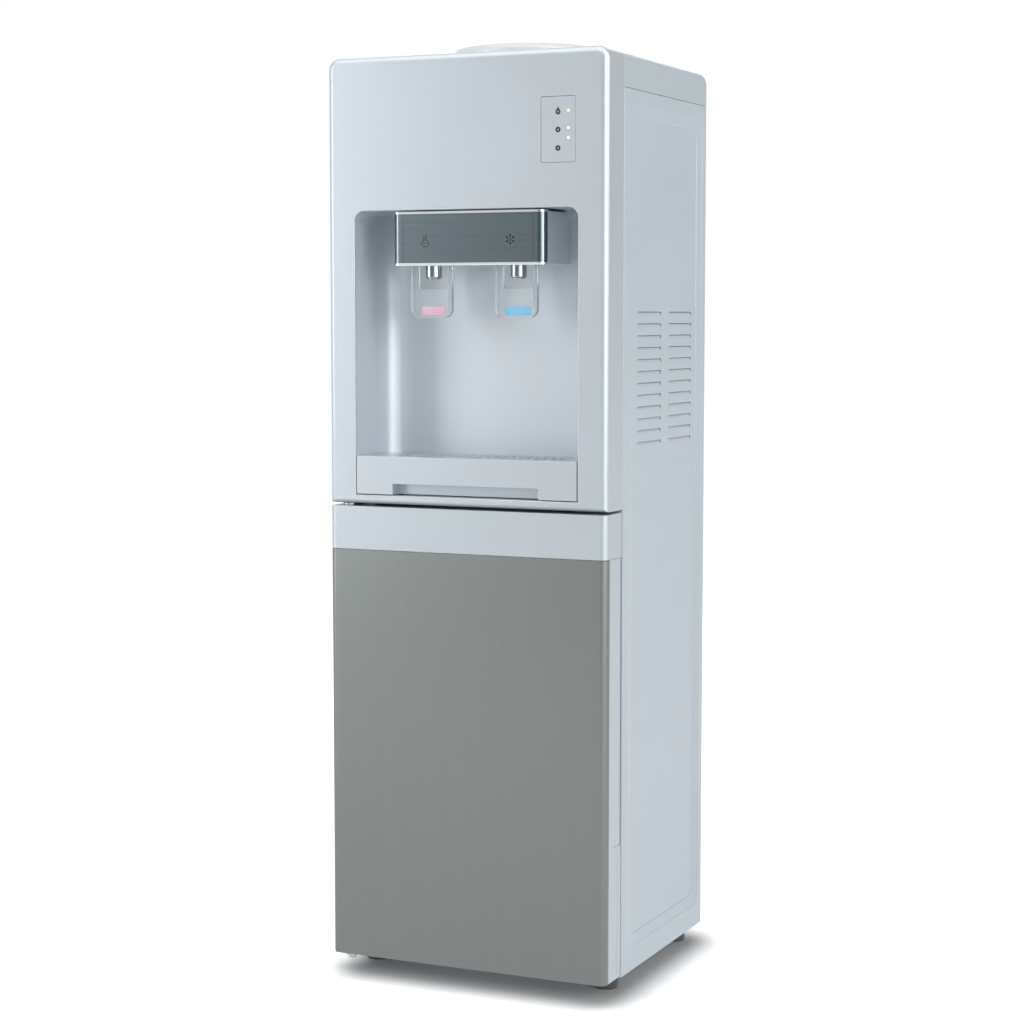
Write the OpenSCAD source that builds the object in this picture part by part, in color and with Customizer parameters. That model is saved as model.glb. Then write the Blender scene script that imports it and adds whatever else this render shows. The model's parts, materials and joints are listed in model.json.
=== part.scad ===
// Free-standing water dispenser for a bottle on top, with two taps and a small cold cabinet
// It stands on z = 0 and faces -Y. Sizes are in millimetres.
// Inside the modules, y is the depth behind the front face.

/* [Cabinet] */
// Outer width of the cabinet, the front panel and the door
body_w = 320; // [316:1:350]
// Height of the top cover above the floor
body_h = 980; // [975:1:1040]
// Depth of the steel cabinet behind the front panel
cabinet_d = 247; // [245:1:290]
// Depth from the front face to the steel cabinet
face_d = 44; // [43:0.5:50]
// Depth taken by the condenser behind the cabinet
rear_d = 31; // [29:1:50]
// Thickness of the sheet steel
sheet_t = 1; // [0.8:0.1:1.4]
// Width of the flanges folded along the sheets
flange_w = 14; // [10:1:16]
// Clearance between fitted parts
fit_gap = 0.3; // [0.2:0.05:0.4]
// Height of the cabinet's underside above the floor
foot_h = 17; // [16:1:25]
// Radius of a foot
foot_r = 13.5; // [10:0.5:15]
// Distance from the side of the cabinet to a foot's axis
foot_inset = 24; // [20:1:34]
// Distance from the cabinet's front or rear to a foot's axis
foot_setback = 18; // [16:1:28]
// Radius of a foot's push-in stud
stud_r = 4; // [3:0.5:5]
// Thickness of the base plate
base_t = 1.5; // [1:0.1:2.5]

/* [Top cover] */
// Height of the top cover's side
cover_h = 38; // [30:1:45]
// Radius of the cover's rear edge
cover_rear_r = 18; // [10:1:22]
// Radius of the cover's and the front panel's upper side corners
top_corner_r = 12; // [6:1:14]
// Wall of the plastic mouldings
wall = 2.5; // [2:0.1:3]

/* [Side panels] */
// Distance from the cabinet's front to the pressed recess
recess_front = 13; // [8:1:20]
// Distance from the cabinet's rear to the recess
recess_rear = 11; // [8:1:20]
// Distance from the panel's lower edge to the recess
recess_bottom = 25; // [15:1:40]
// Distance from the panel's upper edge to the recess
recess_top = 14; // [8:1:30]
// Width of the recess's sloping border
recess_slope = 18; // [10:1:24]
// Depth of the recess
recess_depth = 3; // [2:0.5:4]
// Corner radius of the recess
recess_r = 15; // [8:1:20]
// Rows of louvres
vent_rows = 12; // [6:1:14]
// Distance between rows of louvres
vent_pitch = 12.45; // [10:0.05:14]
// Length of a louvre
vent_w = 69; // [50:1:74]
// Distance between the two columns of louvres
vent_gap = 24; // [10:1:30]
// Distance from the cabinet's front to the first louvre
vent_inset = 48; // [40:1:56]
// Distance from the cover's top to the first row
vent_drop = 265.5; // [200:0.5:300]
// Height of one louvre's pressing
vent_h = 4.5; // [3:0.5:6]
// Depth of one louvre's pressing behind the panel
vent_d = 3; // [2:0.5:4]
// Wall of a louvre's hood
vent_t = 0.8; // [0.6:0.1:1]

/* [Front panel and niche] */
// Radius of the long front edges of the front panel and the door
edge_r = 7; // [4:0.5:9]
// Width of the niche
niche_w = 256; // [240:1:270]
// Height of the niche above the drip tray
niche_h = 258; // [240:1:280]
// Depth of the niche
niche_d = 78; // [76:1:82]
// Radius of the niche's rear upright corners
niche_r = 30; // [15:1:34]
// Radius between the niche's ceiling and its rear wall
ceiling_r = 20; // [10:1:24]
// Radius of the niche's upper corners
arch_r = 11; // [6:1:14]
// Wall of the niche liner
liner_t = 2; // [1.5:0.1:2.5]
// Width of the niche liner's flange
niche_flange = 10; // [8:1:14]
// Height of the panel's bar under the drip tray
sill_h = 9.5; // [8:0.5:14]

/* [Drip tray] */
// Height of the drip tray
tray_h = 41; // [36:1:48]
// Clearance round the drip tray
tray_gap = 0.5; // [0.4:0.1:0.8]
// Wall of the drip tray
tray_t = 2.5; // [2:0.1:3]
// Width of the finger notch
notch_w = 168; // [120:1:190]
// Height of the finger notch
notch_h = 11.5; // [9:0.5:14]
// Depth of the finger notch
notch_d = 13; // [11:1:16]
// Thickness of the grille
grille_t = 4; // [3:0.5:5]
// Number of slots in one row of the grille
grille_slots = 22; // [12:1:26]
// Width of a slot of the grille
grille_slot_w = 5; // [4:0.5:6]

/* [Tap box] */
// Width of the chrome frame
bezel_w = 175.6; // [170:0.2:184]
// Height of the chrome frame
bezel_h = 56.7; // [52:0.1:58]
// Gap between the chrome frame and the ceiling
bezel_drop = 1; // [0.8:0.1:3]
// Depth of the chrome frame behind the front face
bezel_y = 7.5; // [5:0.1:9]
// Depth of the chrome frame's sides
bezel_d = 9; // [8:0.5:10]
// Radius of the chrome frame's upright corners
bezel_r = 8; // [5:0.5:8]
// Height of the frame's upper and lower lips
bezel_lip = 2.7; // [2:0.1:4]
// Thickness of the frame and of the plate
bezel_t = 1.2; // [1:0.1:1.5]
// Width of the dark plate
plate_w = 157; // [150:0.5:159]
// Wall of the tap box
box_t = 2; // [1.5:0.1:2.2]

/* [Taps] */
// Distance between the two taps
tap_pitch = 98; // [94:1:104]
// Depth of the nozzles' axis behind the front face
tap_y = 29; // [29:0.2:30]
// Radius of a nozzle
nozzle_r = 8.5; // [7.5:0.1:9]
// Bore radius of a nozzle
nozzle_bore = 5; // [4:0.1:6]
// Radius of a nozzle's lip
tip_r = 6; // [5.5:0.1:7]
// Height of a nozzle's lip
tip_h = 2; // [1.5:0.5:3]
// Length of a nozzle that shows below the box
nozzle_drop = 12.3; // [11:0.1:16]
// Width of a valve body
valve_w = 31; // [29:0.5:32]
// Depth of a valve body
valve_d = 23; // [21:0.5:24]
// Height of a valve body
valve_h = 28; // [26:1:29]
// Radius of the valve chamber
chamber_r = 6; // [5:0.1:6.5]
// Radius of a valve stem
stem_r = 2; // [1.5:0.1:2.5]
// Radius of the inlet pipe
inlet_r = 4; // [3:0.5:5]
// Width of a lever
lever_w = 45; // [43:0.5:47]
// Width of the cut-out in a lever
lever_gap = 34; // [33:0.5:35]
// Distance from the frame's lower edge to the lever's tip
lever_drop = 52.3; // [48:0.1:58]
// Height of the lever's plate below the cut-out
lever_plate = 29; // [24:1:32]
// Depth of a lever's rims
lever_rim = 10; // [8:0.5:10.5]
// Thickness of a lever's plate
lever_t = 2.2; // [1.8:0.1:3]
// Radius of a lever's lower corners
lever_r = 9; // [5:0.5:10]
// Distance from the pivot to the stem
lever_arm = 7.5; // [7:0.1:7.8]
// Radius of a lever's pivot stub
pivot_r = 2; // [1.6:0.1:2.4]
// Running clearance of pivots, measured on the radius
pivot_gap = 0.05; // [0.03:0.01:0.09]
// Width of a colour mark
mark_w = 28; // [20:1:32]
// Height of a colour mark
mark_h = 8; // [5:0.5:10]
// Thickness of a colour mark
mark_t = 0.6; // [0.4:0.1:1]

/* [Indicator] */
// Width of the indicator plate
ind_w = 38; // [34:0.5:42]
// Height of the indicator plate
ind_h = 66; // [60:0.5:72]
// Distance from the panel's side to the plate
ind_inset = 35; // [30:0.5:40]
// Distance from the panel's top to the plate
ind_drop = 49; // [40:0.5:60]
// Thickness of the indicator plate
ind_t = 2; // [1.5:0.1:2.4]
// Radius of a light guide
light_r = 1.3; // [1:0.1:1.8]
// Distance of the light guides from the plate's right side
light_inset = 8; // [6:0.5:12]
// Distance of the circuit board from the front face
board_y = 12; // [10:0.5:16]
// Thickness of the circuit board
board_t = 1.6; // [1.2:0.1:2]

/* [Door] */
// Thickness of the door
door_t = 39.5; // [39:0.1:40]
// Gap between the door and the front panel
door_gap = 3; // [2.6:0.1:5]
// Gap under the door
door_lift = 2.2; // [2:0.1:4]
// Height of the door's plastic top band
band_h = 46; // [36:1:56]
// Seam between the band and the steel skin
seam = 0.6; // [0.4:0.1:1]
// Thickness of the steel skin
skin_t = 0.8; // [0.6:0.1:1]
// Depth of the steel skin's folded sides
skin_d = 9.8; // [9.5:0.1:12]
// Radius of the door's rear upright edges
door_rear_r = 4; // [4:0.5:5]
// Width of the door frame's side bars
bar_w = 12; // [11:0.5:14]
// Depth of the finger grip in the door's side
grip_d = 6; // [5:0.5:7]
// Height of the grip's lower end above the door's lower edge
grip_z = 138; // [80:1:200]
// Distance from the front face to the grip
grip_y = 15; // [13:0.5:20]
// Distance of the hinge axis from the side of the door
hinge_inset = 17; // [16.5:0.1:17.5]
// Distance of the hinge axis from the front face
hinge_y = 14; // [13.5:0.1:14.5]
// Radius of a hinge pin
pin_r = 3; // [2.5:0.1:3.5]
// Length of a hinge pin in the door
pin_l = 12; // [9:0.5:14]
// Thickness of a hinge bracket
hinge_t = 2; // [1.6:0.1:2.3]
// Width of the door gasket
gasket_w = 12; // [10:0.5:14]
// Distance from the opening to the gasket
gasket_lap = 3; // [2:0.5:5]

/* [Cold cabinet] */
// Width of the cold cabinet's opening
cold_w = 236; // [226:1:240]
// Height of the opening's lower edge above the base plate
cold_lift = 32; // [28:1:40]
// Insulation between the cold cabinet and the tank deck
cold_top = 27; // [24:1:36]
// Depth of the upper part of the cold cabinet
cold_d = 216; // [190:1:218]
// Depth of the lower part, in front of the compressor
cold_low_d = 84; // [70:1:90]
// Height of the step above the base plate
cold_step = 182; // [175:1:200]
// Radius of the cold cabinet's corners
cold_r = 12; // [6:1:16]
// Height of the compressor bay above the base plate
bay_h = 172; // [168:1:174]
// Depth of the compressor bay
bay_d = 138; // [134:1:140]
// Thickness of the shelf
shelf_t = 4; // [3:0.5:6]
// Height of the shelf above the step
shelf_z = 142; // [80:1:200]

/* [Water tanks] */
// Distance from the front face to the bottle's axis
bottle_y = 168; // [166:0.5:172]
// Outer radius of the bottle collar
collar_r = 84; // [82:0.5:88]
// Height of the collar above the cover
collar_h = 18; // [14:0.5:24]
// Radius of the collar's bowl
bowl_r = 74; // [72:0.5:75]
// Depth of the bowl below the collar's rim
bowl_d = 32; // [26:1:34]
// Radius of the well for the bottle's neck
well_r = 33; // [30:0.5:35]
// Depth of the well below the bowl's floor
well_d = 93; // [80:1:100]
// Height of the feed spike
spike_h = 70; // [50:1:76]
// Radius of the feed spike
spike_r = 7; // [6:0.5:9]
// Radius of the cold tank
cold_tank_r = 60; // [56:0.5:61]
// Height of the cold tank
cold_tank_h = 200; // [190:1:205]
// Wall of the tanks
tank_t = 1; // [0.8:0.1:1.5]
// Distance from the collar's well to the edge of the tank's mouth
mouth_gap = 1.5; // [1:0.1:3]
// Radius of the cold tank's insulation
jacket_r = 84; // [82:0.5:85]
// Thickness of the insulation under the cold tank
jacket_floor = 20; // [15:1:24]
// Radius of the evaporator's tube
coil_r = 3; // [2.5:0.1:3.2]
// Turns of the evaporator's tube
coil_turns = 7; // [5:1:8]
// Distance between the turns
coil_pitch = 16; // [12:0.5:18]
// Radius of the hot tank
hot_tank_r = 44; // [40:0.5:46]
// Height of the hot tank
hot_tank_h = 106; // [96:1:108]
// Distance of the hot tank from the middle
hot_x = 68; // [66:1:72]
// Distance of the hot tank from the front face
hot_y = 188; // [184:1:192]
// Radius of the hot tank's insulation
hot_jacket_r = 60; // [56:1:62]
// Thickness of the band heater
heater_t = 3; // [2:0.5:4]
// Width of the band heater
heater_w = 34; // [24:1:44]
// Radius of the silicone tubes
hose_r = 5; // [4.5:0.1:5.5]

/* [Refrigeration] */
// Radius of the compressor's shell
shell_r = 52; // [46:0.5:53]
// Height of the compressor's shell
shell_h = 138; // [120:1:142]
// Distance from the cabinet's rear to the compressor's axis
shell_inset = 68; // [66:1:70]
// Distance of the compressor's axis from the middle
shell_x = 12; // [0:1:16]
// Spacing of the compressor's mounts across the cabinet
mount_x = 128; // [124:1:134]
// Spacing of the compressor's mounts front to rear
mount_y = 76; // [70:1:80]
// Height of the rubber grommets
grommet_h = 15; // [12:0.5:18]
// Radius of the rubber grommets
grommet_r = 10; // [8:0.5:11]
// Radius of the compressor bolts
bolt_r = 3; // [2.5:0.1:4]
// Radius of the condenser's tube
cond_r = 2.4; // [2:0.1:3]
// Distance between the condenser's passes
cond_pitch = 24; // [20:1:25]
// Distance from the condenser's last pass to the drain
cond_clear = 46; // [30:1:90]
// Width of the condenser's straight passes
cond_w = 236; // [200:2:240]
// Height of the condenser's first pass above the compressor bay
cond_lift = 23.5; // [16:0.5:40]
// Radius of the condenser's wires
wire_r = 0.75; // [0.6:0.05:1]
// Distance between the wires
wire_pitch = 14; // [12:1:20]
// Radius of the refrigerant lines
line_r = 3; // [2.5:0.1:3.2]
// Radius of the filter drier
drier_r = 9; // [7:0.5:10]
// Length of the filter drier
drier_l = 80; // [60:1:90]

/* [Rear fittings] */
// Width of a switch opening in the rear panel
switch_w = 13; // [12:0.1:14]
// Height of a switch opening in the rear panel
switch_h = 19.2; // [18:0.1:22]
// Distance from the cover's top to the switches
switch_drop = 100; // [80:1:120]
// Tilt of a rocker at rest
rocker_tilt = 10; // [6:1:11]
// Height of the drain above the hot tank's floor
drain_lift = 7.6; // [6:0.1:12]
// Radius of the drain pipe
drain_r = 6; // [5:0.5:7]
// Length of the drain pipe behind the rear panel
drain_l = 16; // [12:1:20]
// Wall of the drain cap
cap_t = 2; // [1.5:0.1:2.5]
// Bore radius of the cord gland
gland_r = 3.75; // [3:0.05:4.5]
// Distance of the cord gland from the middle
gland_x = 64; // [50:1:76]
// Height of the cord gland above the tank deck
gland_lift = 51.6; // [40:0.1:90]
// Radius of a screw's head
screw_r = 4; // [3:0.1:4.5]
// Radius of a screw's shank
shank_r = 1.9; // [1.5:0.1:2.2]
// Number of screws down each side of the rear panel
screw_rows = 5; // [3:1:6]

/* [Hidden] */
$fn = 64;
eps = 0.01;
big = 2000;

// Finishes
SILVER = [0.78, 0.80, 0.82];
PANEL_BLUE = [0.72, 0.77, 0.80];
NICHE_GREY = [0.70, 0.74, 0.77];
STEEL = [0.60, 0.61, 0.60];
DARK_STEEL = [0.45, 0.48, 0.50];
CHROME = [0.86, 0.88, 0.90];
ZINC = [0.66, 0.68, 0.70];
WHITE = [0.93, 0.94, 0.94];
FOAM = [0.95, 0.93, 0.82];
RUBBER = [0.16, 0.16, 0.17];
BLACK = [0.08, 0.08, 0.09];
COPPER = [0.76, 0.46, 0.30];
CLEAR = [0.88, 0.92, 0.95];
HOT_PINK = [0.88, 0.70, 0.77];
COLD_BLUE = [0.51, 0.78, 0.91];
BOARD_GREEN = [0.10, 0.36, 0.20];

// Levels and depths that follow from the sizes above
half_w = body_w / 2;
back_y = face_d + cabinet_d;
total_d = back_y + rear_d;
front_y = -total_d / 2;
inner_x = half_w - sheet_t;
room_x = half_w - recess_depth - sheet_t - fit_gap;
cover_z = body_h - cover_h;
base_top = foot_h + base_t;

// The front panel hangs from the top, and the door fills the space below it
niche_drop = 160;
niche_top = body_h - niche_drop;
tray_top = niche_top - niche_h;
tray_z = tray_top - tray_h;
fascia_z = tray_z - tray_gap - sill_h;
door_z = foot_h + door_lift;
door_top = fascia_z - door_gap;
band_z = door_top - band_h;
skin_top = band_z - seam;
hinge_x = -half_w + hinge_inset;
bracket_play = 0.4;
deck_top = door_top + bracket_play;
deck_z = deck_top - base_t;

// Cold cabinet
cold_z = base_top + cold_lift;
cold_top_z = deck_z - cold_top;
step_z = base_top + cold_step;
bay_y = back_y - bay_d;
bay_z = base_top + bay_h;
shelf_low = step_z + shelf_z;
channel_x = 110;
channel_w = 18;
channel_d = 13;

// Tap box and taps
niche_back = niche_d;
bezel_top = niche_top - bezel_drop;
bezel_z = bezel_top - bezel_h;
box_x = bezel_w / 2 - bezel_t - fit_gap;
box_top = bezel_top - bezel_t - fit_gap;
box_z = bezel_z + bezel_t + fit_gap;
box_y = bezel_y + bezel_t + fit_gap;
valve_z = box_z + box_t + 4.7;
valve_top = valve_z + valve_h;
pivot_y = tap_y - lever_arm;
pivot_z = valve_top - 9;
chamber_z = valve_z + 6;
chamber_top = valve_top - 3;
inlet_z = valve_z + 14;
inlet_end = niche_back + liner_t + 7;
lever_top = valve_top + 1.2;
lever_z = bezel_z - lever_drop;
lever_front = tap_y + 1 - lever_rim;
lever_back = tap_y + 1;
plug_h = 5;
stem_head = 3;
window_w = lever_w + 5;
window_y = tap_y - 12.3;
window_d = 31;

// Water tanks
bowl_z = body_h + collar_h - bowl_d;
well_top = bowl_z - 14;
well_z = well_top - well_d + 14;
tank_top = well_z + 12;
tank_z = tank_top - cold_tank_h;
jacket_z = tank_z - jacket_floor;
bracket_z = jacket_z - base_t;
hot_z = deck_top + 20;
hot_top = hot_z + hot_tank_h;
drain_z = hot_z + drain_lift;
gland_z = deck_top + gland_lift;
switch_z = body_h - switch_drop;
vent_top = body_h - vent_drop;
side_x = half_w - 42;
run_y = niche_d + liner_t + 16;
pipe_r = 4;
hot_stub = 13;
feed_out_x = 4;
cold_out_x = 44;
hose_gap = 0.05;
lid_t = 3;

// Condenser and rear
cond_y = back_y + rear_d - 2 * wire_r - hose_gap - cond_r;
cond_z = bay_z + cond_lift;
cond_rows = 2 * floor(((drain_z - cond_clear - cond_z) / cond_pitch + 1) / 2);
shell_y = back_y - shell_inset;
panel_y = back_y - 2 * sheet_t;
panel_rear = back_y - sheet_t;
feet_plate_t = 2.5;
feet_plate_z = base_top + grommet_h;

// Everything is drawn with y as depth behind the front face, and moved here
module placed() translate([0, front_y, 0]) children();

// Block between two opposite corners
module block(a, b) translate(a) cube(b - a);

// Flat rectangle between two corners, with all its corners rounded
module round_rect(a, b, r) {
    translate([a.x + r, a.y]) square([b.x - a.x - 2 * r, b.y - a.y]);
    translate([a.x, a.y + r]) square([b.x - a.x, b.y - a.y - 2 * r]);
    for (x = [a.x + r, b.x - r], y = [a.y + r, b.y - r]) translate([x, y]) circle(r);
}

// Flat rectangle with only its upper corners rounded
module arch(a, b, r) {
    translate(a) square([b.x - a.x, b.y - a.y - r]);
    translate([a.x + r, b.y - r - eps]) square([b.x - a.x - 2 * r, r + eps]);
    for (x = [a.x + r, b.x - r]) translate([x, b.y - r]) circle(r);
}

// Extrudes an x-z outline along y, from y by depth d
module along_y(y, d) translate([0, y + d, 0]) rotate([90, 0, 0]) linear_extrude(d) children();

// Extrudes a y-z outline along x, from x by width w
module along_x(x, w) translate([x, 0, 0]) rotate([90, 0, 90]) linear_extrude(w) children();

// Upright cylinder at x, y from z by height h
module post(x, y, z, h, r) translate([x, y, z]) cylinder(h = h, r = r);

// Cylinder along y from depth y by length l
module rod_y(x, y, z, l, r) translate([x, y, z]) rotate([-90, 0, 0]) cylinder(h = l, r = r);

// Cylinder along x from x by length l
module rod_x(x, y, z, l, r) translate([x, y, z]) rotate([0, 90, 0]) cylinder(h = l, r = r);

// Both taps, mirrored
module each_tap() for (s = [-1, 1]) translate([s * tap_pitch / 2, 0, 0]) children();

// A tube swept along a list of points
function unit(v) = v / norm(v);
function heading(p, i) = unit(p[min(i + 1, len(p) - 1)] - p[max(i - 1, 0)]);
function squared(n, t) = unit(n - (n * t) * t);
function carried(p, n0) = [
    for (i = 0, n = squared(n0, heading(p, 0)); i < len(p);
         i = i + 1, n = i < len(p) ? squared(n, heading(p, i)) : n) n
];
function straight_ends(p, k) = concat(
    [p[0]], smooth([for (i = [1:len(p) - 2]) p[i]], k), [p[len(p) - 1]]
);
function smooth(p, k) = [
    for (i = [0:len(p) - 2], j = [0:k - 1])
        let (a = p[max(i - 1, 0)], b = p[i], c = p[i + 1], d = p[min(i + 2, len(p) - 1)], u = j / k)
            0.5 * (2 * b + (c - a) * u + (2 * a - 5 * b + 4 * c - d) * u * u
                + (3 * b - a - 3 * c + d) * u * u * u),
    p[len(p) - 1]
];
module tube(p, r, sides, n0) {
    n = len(p);
    normals = carried(p, n0);
    points = [
        for (i = [0:n - 1], k = [0:sides - 1])
            let (a = 360 * k / sides)
                p[i] + r * (cos(a) * normals[i] + sin(a) * cross(heading(p, i), normals[i]))
    ];
    walls = [
        for (i = [0:n - 2], k = [0:sides - 1])
            let (a = i * sides + k, b = i * sides + (k + 1) % sides)
                each [[a, a + sides, b], [b, a + sides, b + sides]]
    ];
    first = [for (k = [1:sides - 2]) [0, k, k + 1]];
    last = [for (k = [1:sides - 2]) (n - 1) * sides * [1, 1, 1] + [0, k + 1, k]];
    polyhedron(points, concat(walls, first, last), convexity = 10);
}

// Helix round the z axis
function helix(r, pitch, turns, steps) = [
    for (i = [0:turns * steps]) [r * cos(360 * i / steps), r * sin(360 * i / steps), pitch * i / steps]
];

// Cabinet

module base_plate() placed() color(ZINC) difference() {
    union() {
        block([-inner_x, face_d + sheet_t, foot_h], [inner_x, back_y - sheet_t, base_top]);
        for (s = [-1, 1]) block(
            [s > 0 ? inner_x - sheet_t : -inner_x, face_d + sheet_t, foot_h],
            [s > 0 ? inner_x : -inner_x + sheet_t, back_y - sheet_t, foot_h + flange_w]
        );
    }
    foot_posts(foot_h - 1, base_t + 2, stud_r + fit_gap);
    mount_posts(foot_h - 1, base_t + 2, bolt_r + fit_gap);
}

module foot_posts(z, h, r) {
    for (x = [-half_w + foot_inset, half_w - foot_inset])
        for (y = [face_d + foot_setback, back_y - foot_setback - flange_w / 2]) post(x, y, z, h, r);
}

module feet() placed() color(RUBBER) {
    difference() {
        foot_posts(0, foot_h, foot_r);
        lower_plate(hinge_t + 1);
    }
    foot_posts(foot_h - hinge_t - eps, hinge_t + base_t + 3, stud_r);
}

module recess_outline(grow) round_rect(
    [face_d + recess_front + grow, foot_h + recess_bottom + grow],
    [back_y - recess_rear - grow, cover_z - recess_top - grow],
    max(recess_r - grow / 2, 1), $fn = 32
);

// The pressed recess as a solid whose face lies at x
module recess_solid(x, over) hull() {
    along_x(x, over) recess_outline(0);
    along_x(x - recess_depth, eps) recess_outline(recess_slope);
}

// Outline of one louvre in x-z: bulge behind the panel, open along its upper edge
function bulge(x, d, h) = [
    [x, -h],
    for (a = [0:15:90]) [x - d * sin(a), -h + h * (1 - cos(a))],
    [x, 0]
];

module louvres(x, d, h, over) {
    for (i = [0:vent_rows - 1], j = [0, 1])
        translate([0, face_d + vent_inset + j * (vent_w + vent_gap) - over, vent_top - i * vent_pitch])
            along_y(0, vent_w + 2 * over) polygon(bulge(x, d, h));
}

// The right panel, which is mirrored for the left
module side_panel_shape() {
    floor_x = half_w - recess_depth;
    difference() {
        union() {
            block([inner_x, face_d, foot_h], [half_w, back_y, cover_z]);
            block([half_w - flange_w, face_d, foot_h], [half_w, face_d + sheet_t, cover_z]);
            block([half_w - flange_w, panel_rear, foot_h], [half_w, back_y, cover_z]);
            recess_solid(inner_x, eps);
            louvres(floor_x - sheet_t + eps, vent_d - sheet_t + vent_t, vent_h + vent_t, vent_t);
        }
        recess_solid(half_w, 1);
        block([half_w - flange_w - 1, face_d - 1, deck_top - hose_gap],
              [inner_x - hose_gap, face_d + 2, deck_top + hinge_t + hose_gap]);
        louvres(floor_x + eps, vent_d, vent_h, 0);
        rear_screw_holes();
    }
}

module side_panel_right() placed() color(PANEL_BLUE) side_panel_shape();
module side_panel_left() placed() color(PANEL_BLUE) mirror([1, 0, 0]) side_panel_shape();

// Places of the screws through the rear flanges
function screw_z(i) = bay_z + 20 + i * (cover_z - bay_z - 40) / (screw_rows - 1);
module rear_screw_places() for (i = [0:screw_rows - 1], s = [-1, 1])
    translate([s * (half_w - flange_w / 2), back_y, screw_z(i)]) children();
module rear_screw_holes() rear_screw_places()
    rotate([90, 0, 0]) translate([0, 0, -1]) cylinder(h = 3 * sheet_t + 2, r = shank_r + fit_gap);

rear_vents = 9;
rear_vent_z = body_h - 340;
rear_vent_w = 70;
rear_vent_h = 3;
rear_vent_pitch = 14;
switch_gap = 30;
switch_x = -95;

module rear_panel() placed() color(ZINC) difference() {
    union() {
        block([-inner_x + fit_gap, panel_y, bay_z], [inner_x - fit_gap, panel_rear, cover_z]);
        block([-inner_x + fit_gap, panel_y - flange_w / 2, bay_z],
              [inner_x - fit_gap, panel_rear, bay_z + sheet_t]);
    }
    rear_screw_holes();
    for (s = [0, 1]) translate([switch_x + s * switch_gap, 0, switch_z])
        block([-switch_w / 2, panel_y - 1, -switch_h / 2], [switch_w / 2, back_y, switch_h / 2]);
    rod_y(-hot_x, panel_y - 1, drain_z, 4, drain_r + fit_gap);
    rod_y(gland_x, panel_y - 1, gland_z, 4, gland_r + 3);
    block([channel_x - channel_w / 2, panel_y - channel_d, bay_z - 1],
          [channel_x + channel_w / 2, panel_y, bay_z + 3]);
    for (i = [0:rear_vents - 1], s = [-1, 1]) translate([s * 55, 0, rear_vent_z + i * rear_vent_pitch])
        block([-rear_vent_w / 2, panel_y - 1, 0], [rear_vent_w / 2, back_y, rear_vent_h]);
}

module tank_deck() placed() color(ZINC) difference() {
    union() {
        block([-room_x, face_d + sheet_t + fit_gap, deck_z], [room_x, panel_y - fit_gap, deck_top]);
        block([-half_w + flange_w + fit_gap, face_d, deck_z],
              [half_w - flange_w - fit_gap, face_d + 2, deck_top]);
    }
    block([channel_x - channel_w / 2, panel_y - channel_d, deck_z - 1],
          [channel_x + channel_w / 2, back_y, deck_top + 1]);
}

bracket_front = bottle_y - 56;
bracket_back = bottle_y + 82;
bracket_x = room_x - vent_d - vent_t + sheet_t;
vent_mid = face_d + vent_inset + vent_w + vent_gap / 2;

module tank_bracket() placed() color(ZINC) difference() {
    union() {
        block([-bracket_x, bracket_front, bracket_z], [bracket_x, bracket_back, jacket_z]);
        block([-room_x, vent_mid - 9, bracket_z], [room_x, vent_mid + 9, jacket_z]);
        for (s = [-1, 1]) block(
            [s > 0 ? room_x - base_t : -room_x, vent_mid - 9, bracket_z - 20],
            [s > 0 ? room_x : -room_x + base_t, vent_mid + 9, jacket_z]
        );
    }
    block([feed_out_x - 10, bottle_y - 10, bracket_z - 1], [cold_out_x + 10, bottle_y + 10, jacket_z + 1]);
    block([-side_x - 20, bracket_front - 1, bracket_z - 1], [-side_x + 18, run_y + 34, jacket_z + 1]);
}

// Top cover and bottle seat

// Front outline of the cover and the front panel, shrunk by g
module top_outline(z, g) arch([-half_w + g, z], [half_w - g, body_h - g], top_corner_r - g);

module cover_shape(g) intersection() {
    along_y(face_d + g, cabinet_d - 2 * g) top_outline(cover_z - (g > 0 ? 1 : 0), g);
    along_x(-half_w, body_w) difference() {
        translate([face_d - 1, cover_z - 2]) square([cabinet_d + 1, cover_h + 2]);
        translate([back_y - cover_rear_r, body_h - cover_rear_r]) difference() {
            square(cover_rear_r + 1);
            circle(cover_rear_r - g);
        }
    }
}

collar_gap = 0.8;
bowl_t = 2.5;

module top_cover() placed() color(SILVER) difference() {
    cover_shape(0);
    cover_shape(wall);
    post(0, bottle_y, cover_z, big, bowl_r + bowl_t + collar_gap, $fn = 128);
}

// Half section of the collar: rim, bowl, slope and well
function collar_section() = let (
    rim = body_h + collar_h,
    foot = body_h,
    t = bowl_t,
    out = collar_r,
    bowl_out = bowl_r + t,
    well_out = well_r + t
) [
    [well_out, well_z], [well_out, well_top - t], [bowl_out, bowl_z - t], [bowl_out, foot],
    [out, foot], [out - 0.5, foot + 8],
    for (a = [0:18:90]) [out - 8 + 6 * cos(a), rim - 6 + 6 * sin(a)],
    [bowl_r + 1.5, rim - 1], [bowl_r, rim - 4], [bowl_r, bowl_z], [well_r, well_top],
    [well_r, well_z + lid_t], [spike_r + 4, well_z + lid_t], [spike_r + 4, well_z]
];

module bottle_collar() placed() color(WHITE) translate([0, bottle_y, 0])
    rotate_extrude($fn = 128) polygon(collar_section());

module bottle_probe() placed() color(WHITE) translate([0, bottle_y, 0]) difference() {
    rotate_extrude() polygon([
        [spike_r - 2, well_z - 10], [spike_r + 3.7, well_z - 10], [spike_r + 3.7, well_z + lid_t],
        [spike_r + 7, well_z + lid_t], [spike_r + 7, well_z + lid_t + 2], [spike_r, well_z + lid_t + 4],
        [spike_r, well_z + spike_h - 8], [0, well_z + spike_h], [0, well_z + spike_h - 3],
        [spike_r - 2, well_z + spike_h - 10]
    ]);
    for (a = [0, 90]) rotate([0, 0, a])
        block([-2, -20, well_z + spike_h - 30], [2, 20, well_z + spike_h - 14]);
}

// Front panel and niche

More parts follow.
